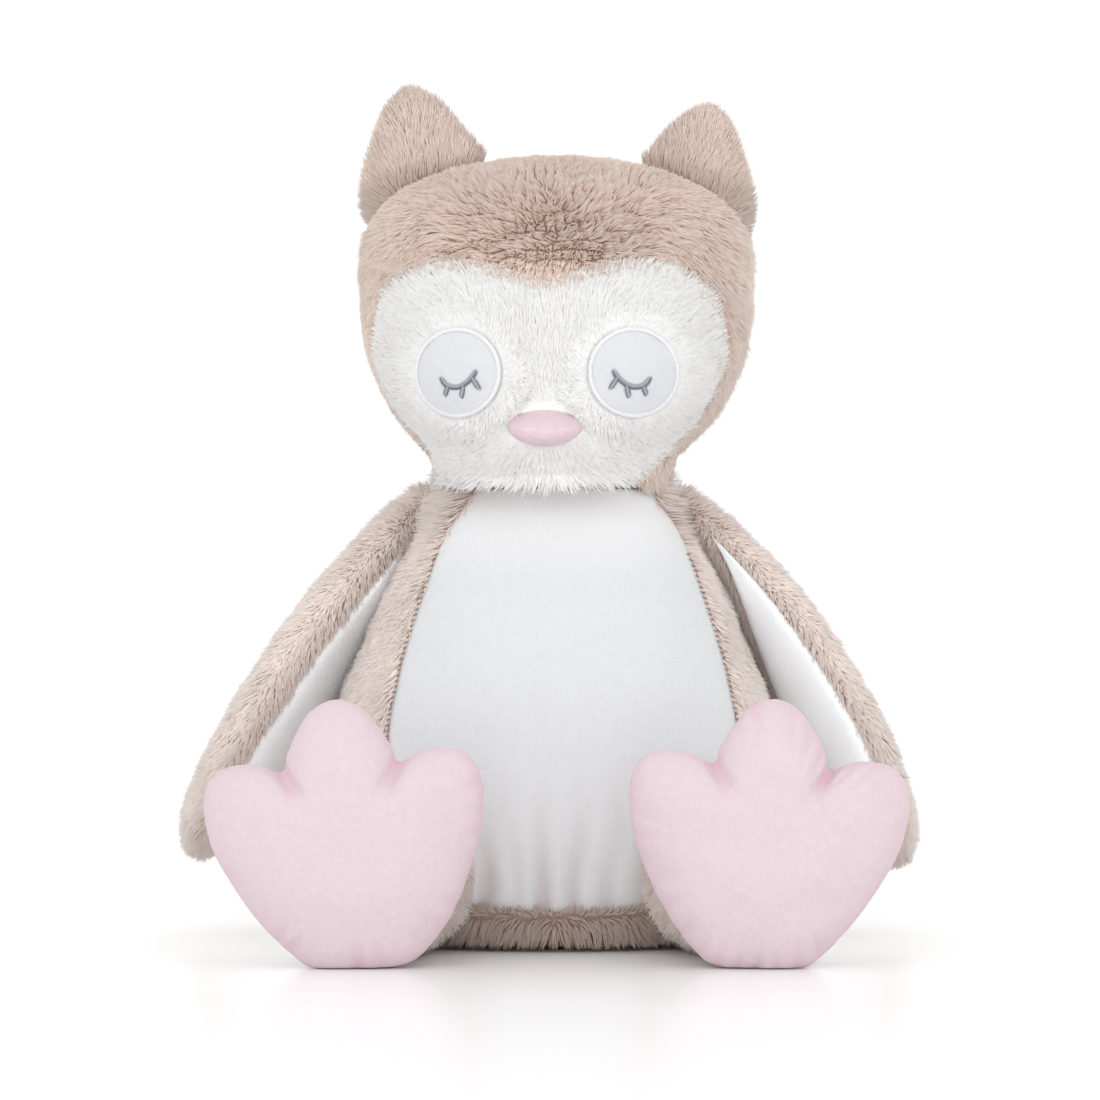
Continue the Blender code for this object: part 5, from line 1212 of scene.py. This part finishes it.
def makeFoot(side):
    # a pillow on the outline, flat in front: rings shrink to the middle, the depth is a rounded power curve;
    # blown up as cloth, then sewn: a crease runs in from each toe notch, and puckers stand along the seam
    outline, sign = footOutline(), sides[side]
    centre = np.array([0, footForm["middle"] * footForm["height"]])
    share = np.concatenate([np.linspace(0.04, 0.86, 24), np.linspace(0.885, 1, 9)])[:, None, None]
    flat = centre + (outline - centre)[None] * share
    x, z = flat[..., 0], flat[..., 1]
    slim = footForm["slim"]
    depth = slim * footForm["halfThick"] * np.clip(1 - share[..., 0] ** 3.4, 0, 1) ** 0.52 + 0 * x
    front, back = np.stack([x, -depth, z], -1), np.stack([x, depth, z], -1)
    points, polys = closedRings(np.concatenate([front, back[-2::-1]]))
    points = blownUp(points, polys)
    normals = pointNormals(points, polys)
    groove = creases(points, centre)
    ringShare = np.concatenate([share[:, 0, 0], share[-2::-1, 0, 0]])
    inset = np.concatenate([np.repeat(1 - ringShare, len(outline)), [1, 1]]) * footSewing["rim"]
    run = np.concatenate([np.tile(runLength(outline), len(ringShare)), [0, 0]])
    wave = np.sin(run / footSewing["puckerSize"] * 2 * math.pi + 2.2 * softNoise(points, 0.05, 83 + sign))
    low = 0.5 * smoothStep(0.045, 0.01, points[:, 2])
    strength = smoothStep(-0.2, 0.9, softNoise(points, 0.045, 87 + sign) + low)
    seam = bell(inset, footSewing["puckerAt"], footSewing["puckerIn"]) * strength
    lumps = footSewing["slack"] * softNoise(points, 0.03, 91 + sign)
    sewn = footSewing["creaseDeep"] * groove - footSewing["pucker"] * wave * seam + lumps
    points = points - normals * footCloth["free"] * sewn[:, None]
    # painted shade in the creases and the puckers' hollows, and a painted velour sheen along the seam
    fold = np.clip(0.55 * groove + 0.35 * np.clip(-wave, 0, 1) * seam + 0.35 * np.exp(-inset / 0.004), 0, 1)
    inner, outer = footForm["taper"][side]
    draw = np.clip(1 - points[:, 2] / (0.5 * footForm["height"]), 0, 1) ** 1.5
    points[:, 0] *= 1 - draw * np.where(np.sign(points[:, 0]) == sign, outer, inner)
    spot = np.array([sign * footForm["spread"][side], -footForm["reach"], 0])
    points = points @ turnY(sign * footForm["roll"][side]).T + spot
    points[:, 2] = np.maximum(points[:, 2], footForm["low"])
    piece = makePiece("foot_pad_" + side, points, polys, "footVelour", "foot_" + side, "foot",
                      ("foot_" + side,), {"fold": fold}, fill=0.8)
    smooth = piece.modifiers.new("smooth", "SUBSURF")
    smooth.levels = smooth.render_levels = 1


bodySkin = makeBody()
makeBelly()
makeSeat()
print("body made")
headSkin = makeHead()
faceSkin = makeFace()
makeEyes()
makeLashes()
makeBeak()
print("head made")
earSkin = {side: makeEar(side) for side in sides}
wingSkin = {side: makeWing(side) for side in sides}
legSkin = {side: makeLeg(side) for side in sides}
for side in sides:
    makeFoot(side)
print("limbs made")


# pile of each cover: which way it lies, how flat, how long, and where it grows

pileBase = {
    "width": 0.0011, "clump": 0.0030, "gather": 0.24, "gap": 0.10, "wander": 0.28, "tilt": 0.35,
    "split": (1, 0, 0), "look": "palePile", "slot": "fur",
}
bodyPile = {**pileBase, "spacing": 0.00089, "length": 0.0066, "gap": 0.12, "light": 0.24, "seed": 101,
            "split": (1, 0.2, 0)}
basePile = {**bodyPile, "look": "beigePile", "seed": 111, "light": 0.45}
headPile = {**pileBase, "spacing": 0.00083, "length": 0.0070, "width": 0.0012, "clump": 0.0040,
            "gather": 0.26, "gap": 0.14, "light": 0.22, "seed": 201, "split": (1, 0.2, 0),
            "look": "beigePile"}
facePile = {**pileBase, "spacing": 0.00074, "length": 0.0068, "width": 0.0016, "clump": 0.0046,
            "gather": 0.14, "gap": 0.0, "wander": 0.22, "light": 0.35, "tilt": 0.12, "seed": 301,
            "look": "whitePile", "slot": "white_fur"}
earPile = {**pileBase, "spacing": 0.00080, "length": 0.0074, "width": 0.0010, "gap": 0.04, "wander": 0.26,
           "light": 0.0, "seed": 401, "look": "beigePile"}
wingPile = {**pileBase, "spacing": 0.00087, "length": 0.0060, "gather": 0.22, "light": 0.32, "seed": 501,
            "split": (0, 0, 1)}
legPile = {**pileBase, "spacing": 0.0011, "length": 0.0080, "width": 0.0012, "clump": 0.0036, "gather": 0.25,
           "wander": 0.3, "light": 0.10, "seed": 601}


def bodyFlow(p, n):
    # down the sides, a little outwards from the belly, laid flat; fuller at the neck, in clumps at the base,
    # and up over the hem under the belly
    flow = np.stack([0.25 * np.sign(p[:, 0]), 0.15 + 0 * p[:, 0], -np.ones(len(p))], -1)
    neck = smoothStep(0.172, 0.194, p[:, 2])
    base = smoothStep(0.024, 0.010, p[:, 2])
    under = bellyLow(p[:, 0]) - p[:, 2]
    hem = smoothStep(0.005, 0.001, under) * (under > -0.0005) * (p[:, 1] < 0) * (np.abs(p[:, 0]) < 0.055)
    flow[:, 2] += 1.7 * hem
    stand = 1.0 - 0.50 * neck - 0.15 * base - 0.3 * hem
    long = 1 + 1.0 * neck + 0.35 * base - 0.2 * hem - 0.25 * smoothStep(0.008, 0.0, p[:, 2])
    return flow, stand, long, 1 + 1.8 * base


def bodyKeep(p, n):
    high = bodyForm["height"] + 0.004
    return ~onBelly(p, 0.0006) & (p[:, 2] > 0.022) & (n[:, 2] > -0.75) & (p[:, 2] < high)


def baseKeep(p, n):
    return ~onBelly(p, 0.0006) & (p[:, 2] > 0.0015) & (p[:, 2] < 0.024) & (n[:, 2] > -0.75)


def basePaintedShade(p):
    # painted shade: the pile is brownest in front, between the legs, where shadow falls
    between = smoothStep(-0.02, -0.05, p[:, 1]) * smoothStep(0.075, 0.055, np.abs(p[:, 0]))
    return between * (0.85 + 0.4 * smoothStep(0.016, 0.004, p[:, 2]))


def headFlow(p, n):
    # out and down from the crown; the brow stands in tufts, parted in the middle, and hangs over the notch
    q = toHead(p)
    across = np.abs(q[:, 0])
    brow = smoothStep(0.062, 0.035, across) * smoothStep(0.082, 0.094, q[:, 2])
    brow = brow * smoothStep(0.148, 0.134, q[:, 2]) * (q[:, 1] < 0.01)
    edge = onFace(p, 0.0045) * (1 - bell(q[:, 0], 0, 0.022))
    side = smoothStep(0.055, 0.08, across) * np.where(q[:, 0] > 0, 0.22, -0.25)
    notch = bell(q[:, 0], 0, 0.016) * smoothStep(0.104, 0.094, q[:, 2]) * (q[:, 1] < 0)
    flow = np.stack([0.9 * q[:, 0] / 0.08, 0.55 * q[:, 1] / 0.08, -0.9 + 0 * p[:, 0]], -1)
    flow[:, 0] += brow * 0.5 * np.tanh(q[:, 0] / 0.004)
    ruffle = np.stack([softNoise(p, 0.009, k) for k in (211, 212, 213)], -1)
    flow = flow @ headTurn.T + (brow * 1.3)[:, None] * ruffle
    flow = flow * (1 - notch)[:, None] + notch[:, None] * np.array([0, 0, -1.0])
    stand = 1.0 - 0.50 * brow + 0.45 * notch * brow - 0.5 * np.maximum(side, 0) + 0.15 * edge
    nearEar = smoothStep(1.5, 1.1, np.minimum(earShare(p, "left"), earShare(p, "right")))
    long = (1 + 0.1 * smoothStep(0.02, 0.0, q[:, 2]) - 0.40 * smoothStep(0.120, 0.140, q[:, 2]) + 0.10 * brow
            - 0.30 * notch - 0.35 * nearEar + side - 0.25 * edge
            + 0.5 * smoothStep(0.055, 0.07, across) * bell(q[:, 2], 0.112, 0.012))
    return flow, stand, long, 1 + 1.3 * brow


def headKeep(p, n):
    q = toHead(p)
    return ~onFace(p, -0.0008) & (q[:, 2] > 0.002) & (n[:, 2] > -0.92)


def browArc(q, away, wide):
    # 1 on an arc above each eye, at this distance from its rim
    arc = bell(eyeDistance(q) - eyeForm["radius"], away, wide)
    return arc * smoothStep(0.0, 0.012, q[:, 2] - eyeForm["height"])


def faceFlow(p, n):
    # away from the beak, and away from the eyes close to them; short on an arc over each eye, fuller above it
    q = toHead(p)
    flow = np.stack([q[:, 0] * 0.9, 0 * q[:, 0], (q[:, 2] - 0.030) * 0.9], -1)
    for sign in (-1, 1):
        away = np.stack([q[:, 0] - sign * eyeForm["spread"], 0 * q[:, 0], q[:, 2] - eyeForm["height"]], -1)
        far = np.linalg.norm(away, axis=1, keepdims=True)
        flow = flow + away / far * 0.10 * smoothStep(0.034, 0.018, far)
    near = smoothStep(0.029, 0.019, eyeDistance(q))
    beak = smoothStep(1.9, 1.0, beakDistance(q))
    notch = bell(q[:, 0], 0, 0.018) * smoothStep(0.076, 0.086, q[:, 2])
    stand = 1.05 + 0.08 * near + 0.05 * beak + 0.15 * notch
    long = (1 - 0.42 * np.maximum(near, beak) - 0.55 * notch - 0.25 * browArc(q, 0.008, 0.0025)
            + 0.2 * browArc(q, 0.0145, 0.003) + 0.28 * smoothStep(0.014, 0.004, q[:, 2]))
    return flow @ headTurn.T, stand, long, np.ones(len(p))


def facePaintedShade(p):
    # painted shade: darker on an arc over each eye, under the fuller fur above it, and darker from the chin
    # upwards, to temper the light on the upper face
    q = toHead(p)
    return 0.45 * browArc(q, 0.0095, 0.003) + 0.35 * smoothStep(0.012, 0.040, q[:, 2])


def faceKeep(p, n):
    q = toHead(p)
    outer = ((n @ headTurn)[:, :2] * unit(q[:, :2])).sum(1) > 0.15
    return outer & (eyeDistance(q) > eyeForm["radius"] + 0.0004) & (beakDistance(q) > 1.0)


def earFlow(side):
    def flow(p, n):
        turn, _ = earPlace(side)
        q = toEar(p, side)
        lie = np.stack([q[:, 0] * 6, 0 * q[:, 0], np.full(len(p), 0.45)], -1) @ turn.T @ headTurn.T
        base = smoothStep(0.26, 0.06, headShare(p) - 1)
        return lie, 0.95 - 0.25 * base, 1 - 0.1 * smoothStep(0.05, 0.075, q[:, 2]), 1 + base
    return flow


def earKeep(p, n):
    return ~insideHead(p)


def earPaintedShade(p):
    # painted shade: darker close to the head, in the crease at the ear's root
    return 0.5 * smoothStep(0.24, 0.04, headShare(p) - 1)


def wingFlow(side):
    def flow(p, n):
        turn, _ = wingMatrix(side)
        level, angle, _ = wingFrame(toWing(p, side))
        lie = np.stack([0.2 * np.cos(angle), 0.35 * np.sin(angle), -np.ones(len(p))], -1) @ turn.T
        past = np.mod(angle, fullTurn) - math.pi - math.radians(wingForm["liningFront"][side])
        fringe = smoothStep(0.5, 0.1, past) * (past > -0.1) * smoothStep(0.06, 0.16, level)
        top = smoothStep(0.16, 0.02, level)
        return lie, 1.0 - 0.2 * fringe - 0.25 * top, 1 - 0.1 * fringe + 0.2 * top, 1 + 1.8 * fringe
    return flow


def wingKeep(side):
    def keep(p, n):
        level, angle, _ = wingFrame(toWing(p, side))
        v, middle, half = liningSpan(level, side)
        inner = np.mod(angle, fullTurn) - math.pi
        return ~((np.abs(inner - middle) < half - 0.02) & (np.abs(v) < 1))
    return keep


def legFlow(p, n):
    lie = np.stack([0 * p[:, 0], -np.ones(len(p)), np.full(len(p), -0.35)], -1)
    return lie, np.full(len(p), 0.95), np.ones(len(p)), np.ones(len(p))


def legKeep(p, n):
    return (p[:, 1] > legForm["to"] + 0.001) & (np.abs(n[:, 1]) < 0.9) & (p[:, 2] > 0.003)


def sidePile(pile, side):
    return {**pile, "seed": pile["seed"] + sides[side]}


wings = [insideWing(side) for side in sides]
legs = [insideLeg(side) for side in sides]
ears = [insideEar(side) for side in sides]
growPile("bodyPile", "torso", bodySkin, bodyPile, bodyFlow, bodyKeep, wings + legs)
growPile("basePile", "torso", bodySkin, basePile, bodyFlow, baseKeep, legs, basePaintedShade)
growPile("headPile", "head", headSkin, headPile, headFlow, headKeep, ears)
growPile("facePile", "head", faceSkin, facePile, faceFlow, faceKeep, paintedShadeAt=facePaintedShade)
for side in sides:
    growPile("earPile_" + side, "head", earSkin[side], sidePile(earPile, side), earFlow(side), earKeep,
             paintedShadeAt=earPaintedShade)
    growPile("wingPile_" + side, "wing_" + side, wingSkin[side], sidePile(wingPile, side), wingFlow(side),
             wingKeep(side), [insideBody])
    growPile("legPile_" + side, "leg_" + side, legSkin[side], sidePile(legPile, side), legFlow, legKeep,
             [insideBody])
print("pile grown")


# finishes of the solids that stay: zip, sound module and its fixings

nodeFinish = {
    "zipTape": (((0.66, 0.56, 0.49), (0.74, 0.64, 0.57), 0.9, 0, 1400, 0.6, (1, 4, 1)),
                ("zip_tape_front", "zip_tape_back")),
    "zipMetal": (((0.72, 0.71, 0.69), (0.84, 0.83, 0.81), 0.34, 1, 900, 0.1, (1, 6, 1)),
                 ("zip_slider", "zip_pull")),
    "casePlastic": (((0.86, 0.86, 0.84), (0.90, 0.90, 0.88), 0.45, 0, 700, 0.2),
                    ("module_case_front", "module_case_back", "beak_washer", "battery_tray")),
    "doorPlastic": (((0.80, 0.80, 0.79), (0.85, 0.85, 0.84), 0.48, 0, 700, 0.2), ("battery_door",)),
    "screwSteel": (((0.62, 0.62, 0.64), (0.76, 0.76, 0.78), 0.3, 1, 800, 0.1, (5, 1, 1)),
                   ("case_screw_1", "case_screw_2", "case_screw_3", "case_screw_4", "battery_door_screw",
                    "button_spring")),
    "contactPlate": (((0.72, 0.70, 0.63), (0.82, 0.80, 0.73), 0.3, 1, 800, 0.1, (1, 1, 5)),
                     ("contact_strip_positive", "contact_strip_negative")),
    "cellJacket": (((0.08, 0.24, 0.19), (0.13, 0.31, 0.25), 0.36, 0, 300, 0.05, plain, 0.4),
                   ("battery_1", "battery_2", "battery_3")),
    "boardGreen": (((0.04, 0.24, 0.12), (0.07, 0.31, 0.17), 0.45, 0, 450, 0.15, plain, 0.3),
                   ("circuit_board",)),
    "blackResin": (((0.03, 0.03, 0.035), (0.07, 0.07, 0.075), 0.4, 0, 600, 0.2),
                   ("voice_chip", "tact_key", "power_switch_body")),
    "speakerGrey": (((0.16, 0.16, 0.17), (0.24, 0.24, 0.25), 0.5, 0, 700, 0.2), ("speaker",)),
    "buttonPink": (((0.84, 0.46, 0.53), (0.89, 0.53, 0.60), 0.38, 0, 500, 0.1),
                   ("press_button", "power_switch_knob")),
}
for lookName, (values, names) in nodeFinish.items():
    look = hardLook(lookName, *values)
    for name in names:
        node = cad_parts[name]
        if node.material_slots:
            node.material_slots[0].material = look
        else:
            node.data.materials.append(look)
print("solids finished")


# stage: white floor with a soft shine, white surround, broad lamps, and the camera

scene = bpy.context.scene
floorLook, tree, shader = newLook("floorWhite")
grain = grainBump(tree, shader, 3, 0.02, 0.001)
floorTone = twoTone(tree, grain, (0.98, 0.98, 0.98), (0.985, 0.985, 0.985))
feed(tree, shader, {"Base Color": floorTone, "Roughness": 0.26, "Specular IOR Level": 0.5})
floorMesh = bpy.data.meshes.new("floor")
floorMesh.from_pydata([(-6, -4, 0), (6, -4, 0), (6, 9, 0), (-6, 9, 0)], [], [(0, 1, 2, 3)])
floorMesh.materials.append(floorLook)
floor = bpy.data.objects.new("floor", floorMesh)
scene.collection.objects.link(floor)

world = bpy.data.worlds.new("surround")
scene.world = world
world.use_nodes = True
background = world.node_tree.nodes["Background"]
feed(world.node_tree, background, {"Color": (1, 1, 1, 1), "Strength": 1.08})

lampAim = np.array([0, 0, 0.17])
lamps = {
    "keyLamp": {"at": (-1.3, -1.7, 0.75), "power": 8, "size": 1.3},
    "fillLamp": {"at": (1.35, -1.6, 0.65), "power": 7, "size": 1.3},
    "frontLamp": {"at": (0.0, -2.4, 0.28), "power": 6, "size": 1.2},
}
for name, lamp in lamps.items():
    data = bpy.data.lights.new(name, "AREA")
    data.energy, data.size = lamp["power"], lamp["size"]
    obj = bpy.data.objects.new(name, data)
    obj.location = lamp["at"]
    obj.rotation_mode = "QUATERNION"
    obj.rotation_quaternion = Vector(lampAim - np.array(lamp["at"])).to_track_quat("-Z", "Y")
    scene.collection.objects.link(obj)

cameraForm = {"at": (-0.0018, -2.0, 0.1735), "lens": 145.44, "sensor": 36}
cameraData = bpy.data.cameras.new("camera")
cameraData.sensor_width, cameraData.lens = cameraForm["sensor"], cameraForm["lens"]
camera = bpy.data.objects.new("camera", cameraData)
camera.location = cameraForm["at"]
camera.rotation_euler = (math.pi / 2, 0, 0)
scene.collection.objects.link(camera)
scene.camera = camera
scene.view_settings.view_transform = "Standard"
print("stage set")

bpy.context.view_layer.update()
